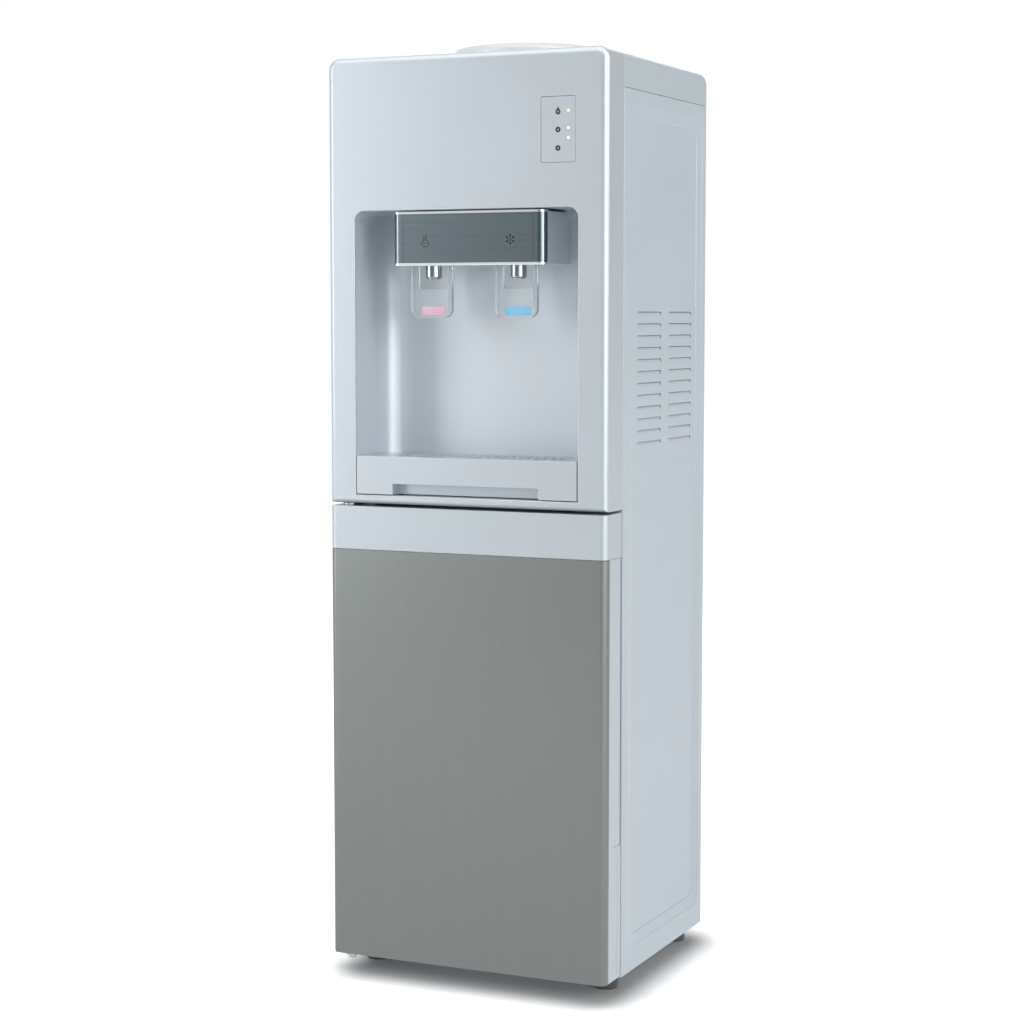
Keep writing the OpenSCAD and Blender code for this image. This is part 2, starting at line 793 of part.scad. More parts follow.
// Front panel as a solid, shrunk by g
module fascia_solid(g) intersection() {
    along_y(g, face_d - g + (g > 0 ? 1 : 0)) top_outline(fascia_z + g, g);
    translate([0, 0, fascia_z]) linear_extrude(body_h - fascia_z)
        round_rect([-half_w + g, g], [half_w - g, face_d + 2 * edge_r], edge_r - g);
    along_x(-half_w, body_w)
        round_rect([g, fascia_z - 2 * edge_r], [face_d + 2 * edge_r, body_h - g], edge_r - g);
}

// Outline of the niche's opening, grown by g
module niche_outline(g) arch(
    [-niche_w / 2 - g, tray_z - tray_gap - g], [niche_w / 2 + g, niche_top + g], arch_r + g
);

ind_x = half_w - ind_inset - ind_w / 2;
ind_z = body_h - ind_drop - ind_h / 2;
ind_post_x = ind_w / 2 + 3.5;
ind_post_z = ind_h / 2 + 3.5;

module front_fascia() placed() color(SILVER) difference() {
    union() {
        difference() {
            fascia_solid(0);
            fascia_solid(wall);
        }
        for (x = [-1, 1], z = [-1, 1])
            rod_y(ind_x + x * ind_post_x, wall - eps, ind_z + z * ind_post_z, board_y - wall + eps, 2.5);
    }
    along_y(-1, wall + 2) niche_outline(0);
    along_y(-1, wall + 2) round_rect(
        [ind_x - ind_w / 2 - fit_gap, ind_z - ind_h / 2 - fit_gap],
        [ind_x + ind_w / 2 + fit_gap, ind_z + ind_h / 2 + fit_gap], 2
    );
}

// Space inside the niche, grown by g
module niche_space(g) intersection() {
    along_y(wall - (g > 0 ? 0 : 1), niche_d - wall + g + (g > 0 ? 0 : 1)) niche_outline(g);
    linear_extrude(big) round_rect(
        [-niche_w / 2 - g, -2 * niche_r], [niche_w / 2 + g, niche_back + g], niche_r + g
    );
    along_x(-half_w, body_w) round_rect(
        [-2 * ceiling_r, -2 * ceiling_r], [niche_back + g, niche_top + g], ceiling_r + g
    );
}

module niche_liner() placed() color(NICHE_GREY) difference() {
    union() {
        along_y(wall, liner_t) niche_flange_outline();
        niche_space(liner_t);
    }
    niche_space(0);
    each_tap() rod_y(0, niche_back - 1, inlet_z, liner_t + 2, inlet_r + fit_gap);
}

// The flange stays above the panel's lower wall
module niche_flange_outline() intersection() {
    niche_outline(niche_flange);
    translate([-half_w, fascia_z + wall + fit_gap]) square([body_w, big]);
}

// Indicator

module indicator_plate() placed() color(SILVER) difference() {
    along_y(0.3, ind_t) round_rect(
        [ind_x - ind_w / 2, ind_z - ind_h / 2], [ind_x + ind_w / 2, ind_z + ind_h / 2], 2 - fit_gap
    );
    light_rods(0, ind_t + 1, light_r + 0.1);
}

// The three lights stand at uneven heights beside their icons
light_heights = [18.6, 1.3, -8.7];
module light_rods(y, l, r) for (z = light_heights)
    rod_y(ind_x + ind_w / 2 - light_inset, y, ind_z + z, l, r, $fn = 32);

module indicator_lights() placed() color("lightgreen") light_rods(0.4, board_y - 0.4, light_r);

module control_board() placed() color(BOARD_GREEN) {
    block([ind_x - ind_w / 2 - 7, board_y, ind_z - ind_h / 2 - 7],
          [ind_x + ind_w / 2 + 7, board_y + board_t, ind_z + ind_h / 2 + 7]);
    block([ind_x - 14, board_y + board_t - eps, ind_z - 24], [ind_x + 4, board_y + board_t + 12, ind_z - 6]);
    block([ind_x - 12, board_y + board_t - eps, ind_z + 8], [ind_x + 12, board_y + board_t + 3, ind_z + 14]);
}

// Tap box

module tap_box() placed() color(NICHE_GREY) intersection() {
    difference() {
        block([-box_x, box_y, box_z], [box_x, niche_back, box_top]);
        block([-box_x + box_t, box_y + box_t, box_z + box_t],
              [box_x - box_t, niche_back + 1, box_top - box_t]);
        each_tap() block([-window_w / 2, window_y, box_z - 1],
                         [window_w / 2, window_y + window_d, box_z + box_t + 1]);
    }
    linear_extrude(big) round_rect(
        [-box_x, box_y], [box_x, niche_back + 2 * bezel_r], bezel_r - bezel_t - fit_gap
    );
    niche_space(0);
}

module bezel_plan(g) round_rect(
    [-bezel_w / 2 + g, bezel_y + g], [bezel_w / 2 - g, bezel_y + 2 * bezel_d], bezel_r - g
);

module tap_bezel() placed() color(CHROME) difference() {
    translate([0, 0, bezel_z]) linear_extrude(bezel_h) intersection() {
        bezel_plan(0);
        translate([-half_w, 0]) square([body_w, bezel_y + bezel_d]);
    }
    translate([0, 0, box_z - fit_gap]) linear_extrude(box_top - box_z + 2 * fit_gap) bezel_plan(bezel_t);
    block([-plate_w / 2, 0, bezel_z + bezel_lip], [plate_w / 2, bezel_y + bezel_t + 1, bezel_top - bezel_lip]);
}

module tap_plate() placed() color(DARK_STEEL)
    block([-plate_w / 2 + 0.15, bezel_y + 0.4, bezel_z + bezel_lip + 0.15],
          [plate_w / 2 - 0.15, bezel_y + bezel_t + fit_gap, bezel_top - bezel_lip - 0.15]);

// Taps

module tap_bodies() placed() color(WHITE) each_tap() difference() {
    union() {
        block([-valve_w / 2, tap_y - valve_d / 2, valve_z], [valve_w / 2, tap_y + valve_d / 2, valve_top]);
        rod_y(0, tap_y + valve_d / 2 - eps, inlet_z, inlet_end - tap_y - valve_d / 2, inlet_r);
        rod_y(0, niche_back - 4, inlet_z, 4, inlet_r + 5);
    }
    post(0, tap_y, chamber_z, chamber_top - chamber_z, chamber_r);
    post(0, tap_y, valve_z - 1, chamber_z - valve_z + 2, nozzle_bore - 1.5);
    post(0, tap_y, chamber_top - 1, valve_top - chamber_top + 2, stem_r + 0.2);
    rod_y(0, tap_y, inlet_z, inlet_end, inlet_r - 1.5);
    for (s = [-1, 1]) rod_x(s > 0 ? valve_w / 2 - 4.5 : -valve_w / 2 - 1, pivot_y, pivot_z, 5.5,
                            pivot_r + pivot_gap);
}

module nozzles() placed() color(CHROME) each_tap() translate([0, tap_y, 0]) difference() {
    union() {
        post(0, 0, bezel_z - nozzle_drop, tip_h + eps, tip_r);
        post(0, 0, bezel_z - nozzle_drop + tip_h, valve_z - bezel_z + nozzle_drop - tip_h, nozzle_r);
    }
    post(0, 0, bezel_z - nozzle_drop - 1, big, nozzle_bore - 1);
}

// Side outline of a lever's arm in y-z
function arm_outline() = [
    [lever_front, lever_z + lever_r], [lever_back, lever_z + lever_r], [lever_back, pivot_z - 8],
    [tap_y, pivot_z - 5], [tap_y, lever_top], [pivot_y - 1.5, lever_top], [pivot_y - 3, pivot_z + 4],
    [pivot_y - 3.5, pivot_z - 6], [lever_front, pivot_z - 14]
];

arm_w = (lever_w - lever_gap) / 2;
arm_inner = valve_w / 2 + 0.5;

// Outline of the lever's paddle in x-z, shrunk by g
module paddle(g) difference() {
    union() {
        translate([-lever_w / 2 + g, lever_z + lever_r]) square([lever_w - 2 * g, lever_plate - lever_r]);
        round_rect(
            [-lever_w / 2 + g, lever_z + g], [lever_w / 2 - g, lever_z + lever_plate - eps], lever_r - g
        );
    }
}

module lever_shape() {
    difference() {
        along_y(lever_front, lever_rim) paddle(0);
        along_y(lever_front - 1, lever_rim - lever_t + 1) paddle(2);
        block([-lever_w / 2 + 2, lever_front - 1, lever_z + lever_r], [lever_w / 2 - 2, lever_back - lever_t,
              lever_z + lever_plate + 1]);
        along_y(lever_front, lever_rim + 1) translate([0, lever_z + lever_plate])
            round_rect([-lever_gap / 2, -6], [lever_gap / 2, 40], 5);
        mark_space(0);
    }
    for (s = [-1, 1]) {
        along_x(s > 0 ? lever_gap / 2 : -lever_w / 2, arm_w) intersection() {
            polygon(arm_outline());
            translate([0, lever_z + lever_plate - 6]) square([100, big]);
        }
        rod_x(s > 0 ? valve_w / 2 - 4 : -lever_gap / 2 - eps, pivot_y, pivot_z,
              lever_gap / 2 - valve_w / 2 + 4 + eps, pivot_r);
    }
}

// Space that the colour mark fills in the lever's front
module mark_space(g) block(
    [-mark_w / 2 + g, lever_back - lever_t - (g > 0 ? 0 : 0.5), lever_z + 2.5 + g],
    [mark_w / 2 - g, lever_back - lever_t + mark_t, lever_z + 2.5 + mark_h - g]
);

module hot_lever() placed() color(CLEAR) translate([-tap_pitch / 2, 0, 0]) lever_shape();
module cold_lever() placed() color(CLEAR) translate([tap_pitch / 2, 0, 0]) lever_shape();
module hot_lever_mark() placed() color(HOT_PINK) translate([-tap_pitch / 2, 0, 0]) mark_space(0.05);
module cold_lever_mark() placed() color(COLD_BLUE) translate([tap_pitch / 2, 0, 0]) mark_space(0.05);

// Valve stem: plug on its seat, rod, and the crosshead that the lever lifts
module stem_shape() translate([0, tap_y, 0]) {
    post(0, 0, chamber_z, plug_h, chamber_r - 0.5);
    post(0, 0, chamber_z + plug_h - eps, lever_top + fit_gap - chamber_z - plug_h + 1, stem_r);
    block([-lever_w / 2 + 1, -2, lever_top + fit_gap], [lever_w / 2 - 1, 2, lever_top + fit_gap + stem_head]);
}

module hot_valve_stem() placed() color(ZINC) translate([-tap_pitch / 2, 0, 0]) stem_shape();
module cold_valve_stem() placed() color(ZINC) translate([tap_pitch / 2, 0, 0]) stem_shape();

spring_wire = 0.5;
spring_turns = 6;
module spring_shape() {
    low = chamber_z + plug_h + spring_wire + 0.05;
    high = chamber_top - spring_wire - 0.05;
    coil_mid = (stem_r + chamber_r) / 2;
    translate([0, tap_y, low])
        tube(helix(coil_mid, (high - low) / spring_turns, spring_turns, 10), spring_wire, 5, [1, 0, 0]);
}

module hot_valve_spring() placed() color(CHROME) translate([-tap_pitch / 2, 0, 0]) spring_shape();
module cold_valve_spring() placed() color(CHROME) translate([tap_pitch / 2, 0, 0]) spring_shape();

// Drip tray

tray_x = niche_w / 2 - tray_gap;
tray_back = niche_back - tray_gap;
tray_r = niche_r - tray_gap;
basin_y = notch_d + tray_t;
grille_seat = 4;

// Plan of the tray, shrunk by g at the sides and the rear
module tray_plan(g, y) intersection() {
    round_rect([-tray_x + g, -2 * tray_r], [tray_x - g, tray_back - g], tray_r - g);
    translate([-half_w, y]) square([body_w, big]);
}

module drip_tray() placed() color(SILVER) difference() {
    translate([0, 0, tray_z]) linear_extrude(tray_h) tray_plan(0, 0);
    translate([0, 0, tray_z + tray_t]) linear_extrude(tray_h) tray_plan(tray_t + 1.5, basin_y);
    translate([0, 0, tray_top - grille_t - fit_gap]) linear_extrude(tray_h) tray_plan(tray_t - 1, grille_seat);
    block([-notch_w / 2, -1, tray_z - 1], [notch_w / 2, notch_d, tray_z + notch_h]);
}

module drip_grille() placed() color(SILVER) {
    slot_l = 19;
    pitch = (niche_w - 2 * 26) / grille_slots;
    translate([0, 0, tray_top - grille_t]) linear_extrude(grille_t - 0.2) difference() {
        tray_plan(tray_t - 1 + fit_gap, grille_seat + fit_gap);
        for (i = [0:grille_slots - 1], j = [0, 1])
            translate([(i - (grille_slots - 1) / 2) * pitch, basin_y + 5 + j * (slot_l + 6)])
                translate([-grille_slot_w / 2, 0]) square([grille_slot_w, slot_l]);
    }
}

// Door

// Plan of the door, shrunk by g
module door_plan(g) {
    front_r = edge_r - g;
    rear_r = door_rear_r - g;
    intersection() {
        round_rect([-half_w + g, g], [half_w - g, door_t + 2 * edge_r], front_r);
        round_rect([-half_w + g, -2 * edge_r], [half_w - g, door_t - g], rear_r);
    }
}

module strip(y0, y1) translate([-half_w - 1, y0]) square([body_w + 2, y1 - y0]);

module door_skin() placed() color(STEEL) intersection() {
    translate([0, 0, door_z]) linear_extrude(skin_top - door_z) difference() {
        intersection() {
            door_plan(0);
            strip(-1, skin_d);
        }
        door_plan_open(skin_t);
    }
    along_y(-1, skin_d + 2) round_rect([-half_w, door_z], [half_w, skin_top + 20], 3);
}

// Plan of the door inside its skin, open to the rear
module door_plan_open(g) round_rect([-half_w + g, g], [half_w - g, door_t + 2 * edge_r], edge_r - g);

module hinge_boss(z, h, r) post(hinge_x, hinge_y, z, h, r);

module door_band() placed() color(SILVER) difference() {
    union() {
        difference() {
            translate([0, 0, band_z]) linear_extrude(band_h) door_plan(0);
            translate([0, 0, band_z - 1]) linear_extrude(band_h - wall + 1) intersection() {
                door_plan_open(wall);
                strip(-1, door_t + 1);
            }
        }
        hinge_boss(door_top - wall - pin_l - 2, pin_l + 2 + eps, pin_r + 3.5);
    }
    hinge_boss(door_top - pin_l - 1, pin_l + 2, pin_r + pivot_gap);
}

// Side bars and bottom bar; the right bar has the finger grip
module door_frame() placed() color(SILVER) difference() {
    union() {
        translate([0, 0, door_z]) linear_extrude(skin_top - door_z) {
            difference() {
                intersection() {
                    door_plan(0);
                    strip(skin_d, door_t + 1);
                }
                translate([-half_w + bar_w, -1]) square([body_w - 2 * bar_w, door_t + 2]);
            }
            difference() {
                intersection() {
                    door_plan_open(skin_t);
                    strip(0, skin_d + eps);
                }
                translate([-half_w + bar_w, -1]) square([body_w - 2 * bar_w, door_t + 2]);
            }
        }
        block([-half_w + bar_w - eps, skin_t, door_z], [half_w - bar_w + eps, door_t, door_z + bar_w]);
        hinge_boss(door_z, pin_l + 4, pin_r + 3.5);
    }
    hinge_boss(door_z - 1, pin_l + 2, pin_r + pivot_gap);
    along_x(half_w - grip_d, grip_d + 1) grip_outline();
}

module grip_outline() {
    r = (door_t - grip_y) / 2;
    translate([grip_y, door_z + grip_z + r]) square([door_t - grip_y + 1, skin_top - door_z - grip_z - r + 1]);
    translate([grip_y + r, door_z + grip_z + r]) circle(r);
    translate([grip_y + r, door_z + grip_z]) square([r + 1, r]);
}

liner_x = half_w - bar_w;
plateau_x = cold_w / 2 - 14;
plateau_low = cold_z + 12;
plateau_top = cold_top_z - 12;
plateau_d = 12;
door_liner_y = door_t - 2;

module plateau(g, y0, y1) along_y(y0, y1 - y0) round_rect(
    [-plateau_x + g, plateau_low + g], [plateau_x - g, plateau_top - g], 16 - g
);

module door_liner() placed() color(WHITE) difference() {
    union() {
        block([-liner_x + fit_gap, door_liner_y, door_z + bar_w], [liner_x - fit_gap, door_t, skin_top + eps]);
        block([-half_w + wall + fit_gap, door_liner_y, skin_top],
              [half_w - wall - fit_gap, door_t, door_top - wall - fit_gap]);
        plateau(0, door_liner_y, door_t + plateau_d);
    }
    plateau(2, door_liner_y - 1, door_t + plateau_d - 2);
}

module door_foam() placed() color(FOAM) difference() {
    union() {
        block([-liner_x + fit_gap, skin_t, door_z + bar_w], [liner_x - fit_gap, door_liner_y, skin_top + eps]);
        block([-half_w + edge_r, wall, skin_top], [half_w - edge_r, door_liner_y, door_top - wall]);
        plateau(2, door_liner_y - eps, door_t + plateau_d - 2);
    }
    hinge_boss(door_z, pin_l + 5, pin_r + 3.8);
    hinge_boss(door_top - wall - pin_l - 3, big, pin_r + 3.8);
}

gasket_x = cold_w / 2 + gasket_lap;
module gasket_outline(g) round_rect(
    [-gasket_x - g, cold_z - gasket_lap - g], [gasket_x + g, cold_top_z + gasket_lap + g], 3 + g
);

module door_gasket() placed() color(ZINC) difference() {
    along_y(door_t, face_d - door_t - fit_gap) gasket_outline(gasket_w);
    along_y(door_t - 1, face_d) gasket_outline(0);
}

// Plan of a hinge bracket: tongue round the pin, and a plate along the cabinet's side
bracket_rear = face_d + 30;
upper_arm = 34;
lower_arm = foot_inset + foot_r + 1;
lower_rear = face_d + foot_setback + foot_r + 1;
module bracket_plan(w, rear) {
    translate([hinge_x, hinge_y]) circle(7);
    polygon([
        [hinge_x - 7, hinge_y], [hinge_x + 7, hinge_y], [hinge_x + 7, face_d - 12],
        [-half_w + w, face_d - 4], [-half_w + w, rear], [-room_x, rear],
        [-room_x, face_d - 8]
    ]);
}

module lower_plate(t) translate([0, 0, foot_h - hinge_t]) linear_extrude(t)
    bracket_plan(lower_arm, lower_rear);

module hinge_brackets() placed() color(ZINC) {
    translate([0, 0, deck_top]) linear_extrude(hinge_t) bracket_plan(upper_arm, bracket_rear);
    hinge_boss(door_top - pin_l, pin_l + bracket_play + eps, pin_r);
    difference() {
        lower_plate(hinge_t);
        foot_posts(foot_h - hinge_t - 1, hinge_t + 2, stud_r + fit_gap);
    }
    hinge_boss(foot_h - eps, door_lift + pin_l, pin_r);
    hinge_boss(foot_h - hinge_t - 3, 3 + eps, pin_r + 1);
}

// Cold cabinet

// Space inside the cold cabinet, grown by g: an upper room, and a lower one in front of the compressor
module cold_space(g, y) {
    along_y(y, face_d + cold_d + g - y) round_rect(
        [-cold_w / 2 - g, step_z - g], [cold_w / 2 + g, cold_top_z + g], cold_r + g
    );
    along_y(y, face_d + cold_low_d + g - y) round_rect(
        [-cold_w / 2 - g, cold_z - g], [cold_w / 2 + g, cold_top_z + g], cold_r + g
    );
}

rib_d = 3;
module fridge_liner() placed() color(WHITE) {
    difference() {
        union() {
            block([-half_w + flange_w + fit_gap, face_d, base_top + fit_gap],
                  [half_w - flange_w - fit_gap, face_d + liner_t, deck_z - fit_gap]);
            cold_space(liner_t, face_d);
        }
        cold_space(0, face_d - 1);
    }
    for (s = [-1, 1], z = [shelf_low - 3]) block(
        [s > 0 ? cold_w / 2 - rib_d : -cold_w / 2 - eps, face_d + 16, z],
        [s > 0 ? cold_w / 2 + eps : -cold_w / 2 + rib_d, face_d + cold_d - 10, z + 3]
    );
}

module fridge_foam() placed() color(FOAM) difference() {
    block([-inner_x + sheet_t + fit_gap + recess_depth + vent_d, face_d + liner_t, base_top],
          [inner_x - sheet_t - fit_gap - recess_depth - vent_d, panel_y - flange_w / 2 - fit_gap, deck_z]);
    cold_space(liner_t, face_d);
    block([-half_w, bay_y, 0], [half_w, back_y, bay_z]);
    block([channel_x - channel_w / 2, panel_y - channel_d, 0], [channel_x + channel_w / 2, back_y, big]);
    foot_posts(0, base_top + 5, stud_r + 1);
    flat_low = flat_z - flat_r - 2;
    flat_high = flat_z + (flat_rows - 1) * flat_pitch + flat_r + 2;
    block([-flat_x - flat_pitch / 2 - flat_r - 2, face_d + cold_d, flat_low],
          [channel_x + channel_w / 2, flat_y + flat_r + 0.5, flat_high]);
    block([channel_x - channel_w / 2, flat_y, flat_low], [channel_x + channel_w / 2, back_y, flat_high]);
}

module fridge_shelf() placed() color(WHITE) {
    shelf_x = cold_w / 2 - 1;
    slots = 14;
    pitch = (2 * shelf_x - 16) / slots;
    translate([0, 0, shelf_low]) linear_extrude(shelf_t) difference() {
        round_rect([-shelf_x, face_d + 16], [shelf_x, face_d + cold_d - 4], 6);
        for (i = [0:slots - 1], j = [0, 1])
            translate([-shelf_x + 8 + (i + 0.5) * pitch - 5, face_d + 24 + j * (cold_d / 2 - 12)])
                square([10, cold_d / 2 - 24]);
    }
}

// Water tanks

// Closed drum between r = 0 and r, from z by h, with a mouth in its top
function drum(r, z, h, t, mouth) = [
    [0, z], [r, z], [r, z + h], [mouth, z + h], [mouth, z + h - t], [r - t, z + h - t],
    [r - t, z + t], [0, z + t]
];

module cold_tank() placed() color(ZINC) translate([0, bottle_y, 0]) difference() {
    union() {
        rotate_extrude($fn = 96)
            polygon(drum(cold_tank_r, tank_z, cold_tank_h, tank_t, well_r + bowl_t + mouth_gap));
        for (x = [feed_out_x, cold_out_x]) post(x, 0, bracket_z - 10, tank_z - bracket_z + 10 + eps, pipe_r);
    }
    for (x = [feed_out_x, cold_out_x]) post(x, 0, bracket_z - 11, tank_z - bracket_z + 13, pipe_r - 1);
}

coil_mid = (cold_tank_r + coil_r + 0.2) / cos(360 / 32);
module cold_tank_foam() placed() color(WHITE) translate([0, bottle_y, 0]) difference() {
    post(0, 0, jacket_z, jacket_floor + cold_tank_h, jacket_r, $fn = 96);
    post(0, 0, tank_z, big, coil_mid + coil_r + 2, $fn = 96);
    for (x = [feed_out_x, cold_out_x]) post(x, 0, 0, big, pipe_r + 0.5);
    rotate([0, 0, coil_exit]) block([0, -coil_r - 5.5, coil_z - coil_r - 1], [big, coil_r + 5.5, big]);
}

// The tank's coil leaves the insulation at the rear, through a slot
coil_exit = 60;
coil_z = tank_z + 20;
coil_h = coil_pitch * coil_turns;
function coil_out(d, z) = [
    (jacket_r + 6 + d) * cos(coil_exit), bottle_y + (jacket_r + 6 + d) * sin(coil_exit), coil_z + z
];

// The cabinet's coil lies flat against the liner's rear wall
flat_r = 3;
flat_x = 84;
flat_pitch = 28;
flat_z = step_z + 50;
flat_rows = 2 * floor(((cold_top_z - 60 - flat_z) / flat_pitch + 1) / 2);
flat_y = face_d + cold_d + liner_t + flat_r + hose_gap;
suction_x = channel_x - 4;
capillary_x = channel_x + 5;
lines_y = panel_y - 6;
capillary_r = 1.2;

module evaporator_coils() placed() color(COPPER) {
    translate([0, bottle_y, coil_z]) rotate([0, 0, coil_exit]) tube(concat(
        [[jacket_r + 6, 0, 0], [coil_mid + 5.5, 0, 0]],
        [for (i = [0:coil_turns * 16 - 1])
            let (a = 360 * (i + 0.5) / 16)
                [coil_mid * cos(a), coil_mid * sin(a), coil_pitch * (i + 0.5) / 16]],
        [[coil_mid + 5.5, 0, coil_h], [jacket_r + 6, 0, coil_h]]
    ), coil_r, 6, [0, 0, 1]);
    for (i = [0:flat_rows - 1]) rod_x(-flat_x, flat_y, flat_z + i * flat_pitch, 2 * flat_x, flat_r);
    for (i = [0:flat_rows - 2]) bend(i % 2 == 0 ? -1 : 1, flat_x, flat_y, flat_z + (i + 0.5) * flat_pitch,
                                     flat_pitch / 2, flat_r);
    flat_end(capillary_x, flat_z, capillary_r);
    flat_end(suction_x, flat_z + (flat_rows - 1) * flat_pitch, line_r);
}

// End of the flat coil: along x to the channel, then back to the line it joins
module flat_end(x, z, r) {
    rod_x(flat_x - eps, flat_y, z, x + flat_r - flat_x, flat_r);
    rod_y(x, flat_y, z, lines_y - r - hose_gap - flat_y, flat_r);
}

// Half ring that joins two horizontal passes at x = s * reach
module bend(s, reach, y, z, ring_r, r) translate([s * reach, y, z]) rotate([90, 0, 0])
    rotate_extrude(angle = 180, start = s > 0 ? -90 : 90) translate([ring_r, 0]) circle(r);

module hot_tank() placed() color(ZINC) translate([-hot_x, hot_y, 0]) difference() {
    union() {
        post(0, 0, hot_z, hot_tank_h, hot_tank_r);
        post(0, 0, hot_top - eps, hot_stub, pipe_r);
        rod_x(0, 0, hot_z + 12, hot_jacket_r + 6, pipe_r);
        rod_y(0, 0, drain_z, hot_jacket_r + 6, pipe_r);
    }
    post(0, 0, hot_z + tank_t, hot_tank_h - 2 * tank_t, hot_tank_r - tank_t);
    post(0, 0, hot_top - 5, 30, pipe_r - 1);
    rod_x(0, 0, hot_z + 12, big, pipe_r - 1);
    rod_y(0, 0, drain_z, big, pipe_r - 1);
}

heater_z = hot_z + 40;
module band_heater() placed() color(CHROME) translate([-hot_x, hot_y, 0]) difference() {
    union() {
        post(0, 0, heater_z, heater_w, hot_tank_r + fit_gap + heater_t);
        rotate([0, 0, 200])
            block([hot_tank_r + 1, -4, heater_z + 8], [hot_tank_r + heater_t + 5, 4, heater_z + heater_w - 8]);
    }
    post(0, 0, heater_z - 1, heater_w + 2, hot_tank_r + fit_gap);
}

module hot_tank_foam() placed() color(WHITE) translate([-hot_x, hot_y, 0]) difference() {
    post(0, 0, deck_top, hot_top - deck_top + 6, hot_jacket_r);
    post(0, 0, hot_z, hot_tank_h, hot_tank_r + heater_t + 8);
    post(0, 0, hot_z, big, pipe_r + 0.5);
    rod_x(0, 0, hot_z + 12, big, pipe_r + 0.5);
    rod_y(0, 0, drain_z, big, pipe_r + 0.5);
}

// Two snap-disc thermostats on the hot tank, and one on the cold tank's bracket
module thermostats() placed() color(BLACK) {
    translate([-hot_x, hot_y, 0]) for (a = [-60, -110]) rotate([0, 0, a])
        rod_x(hot_tank_r + fit_gap, 0, hot_top - 22, 7, 7);
    translate([0, bottle_y, 0]) rotate([0, 0, -28]) post(jacket_r + 18, 0, jacket_z, 8, 8);
}

hose_steps = 4;
module hose(points) tube(straight_ends(points, hose_steps), hose_r, 8, [0.3, 0.2, 1]);
module water_tubes() placed() color(CLEAR) {
    tap = tap_pitch / 2;
    tail = inlet_end + hose_gap;
    stub = bracket_z - 10 - hose_gap;
    // Cold tank to the cold tap
    hose([[cold_out_x, bottle_y, stub], [cold_out_x, bottle_y, stub - 5],
          [cold_out_x + 20, bottle_y - 24, stub - 18], [side_x - 18, run_y + 10, stub - 8],
          [side_x - 2, run_y + 1, stub + 30], [side_x - 6, run_y, inlet_z - 40],
          [side_x - 22, run_y, inlet_z - 8], [tap + 18, tail + 10, inlet_z], [tap + 7, tail + 8, inlet_z],
          [tap, tail + 4, inlet_z], [tap, tail, inlet_z]]);
    // Hot tank to the hot tap
    hose([[-hot_x, hot_y, hot_top + hot_stub + hose_gap], [-hot_x, hot_y, hot_top + hot_stub + 6],
          [-side_x + 14, hot_y - 38, bracket_z - 12], [-side_x, run_y + 22, bracket_z - 4],
          [-side_x, run_y + 4, bracket_z + 24], [-side_x + 6, run_y, inlet_z - 40],
          [-side_x + 22, run_y, inlet_z - 8], [-tap - 18, tail + 10, inlet_z],
          [-tap - 7, tail + 8, inlet_z], [-tap, tail + 4, inlet_z], [-tap, tail, inlet_z]]);
    // Cold tank down to the hot tank
    feed_x = -hot_x + hot_jacket_r + 6 + hose_gap;
    hose([[feed_out_x, bottle_y, stub], [feed_out_x, bottle_y, stub - 4],
          [feed_out_x + 10, bottle_y + 8, stub - 20], [feed_x + 28, hot_y, stub - 56],
          [feed_x + 26, hot_y, hot_z + 30], [feed_x + 8, hot_y, hot_z + 13],
          [feed_x + 3, hot_y, hot_z + 12], [feed_x, hot_y, hot_z + 12]]);
    // Hot tank to the drain
    hose([[-hot_x, hot_y + hot_jacket_r + 6 + hose_gap, drain_z], [-hot_x, panel_y - 24, drain_z],
          [-hot_x, panel_y - 16, drain_z], [-hot_x, panel_y - 10 - hose_gap, drain_z]]);
}

// Refrigeration

module mount_posts(z, h, r) for (x = [-1, 1], y = [-1, 1])
    post(shell_x + x * mount_x / 2, shell_y + y * mount_y / 2, z, h, r);

shell_z = base_top + 6;
module compressor() placed() color(BLACK) difference() {
    union() {
        translate([shell_x, shell_y, shell_z]) {
            rotate_extrude($fn = 96) intersection() {
                round_rect([-shell_r, 0], [shell_r, shell_h], 24);
                square([shell_r, shell_h]);
            }
            post(0, 0, shell_h * 0.56, 5, shell_r + 2, $fn = 96);
        }
        translate([0, 0, feet_plate_z]) linear_extrude(feet_plate_t) round_rect(
            [shell_x - mount_x / 2 - 12, shell_y - mount_y / 2 - 12],
            [shell_x + mount_x / 2 + 12, shell_y + mount_y / 2 + 12], 10
        );
        rod_x(shell_x - shell_r - 12, shell_y + 14, shell_z + 84, 20, line_r + 1);
        rod_x(shell_x - shell_r - 12, shell_y - 18, shell_z + 60, 22, line_r + 1);
    }
    mount_posts(feet_plate_z - 1, feet_plate_t + 2, grommet_r - 4 + 0.1);
}

module compressor_grommets() placed() color(RUBBER) difference() {
    union() {
        mount_posts(base_top, grommet_h, grommet_r);
        mount_posts(base_top + grommet_h - eps, feet_plate_t + 1.5, grommet_r - 4);
    }
    mount_posts(base_top - 1, grommet_h + feet_plate_t + 4, bolt_r + 0.1);
}

module terminal_cover() placed() color(BLACK) along_x(shell_x + shell_r + hose_gap, 20)
    round_rect([shell_y - 20, shell_z + 28], [shell_y + 20, shell_z + 72], 6);

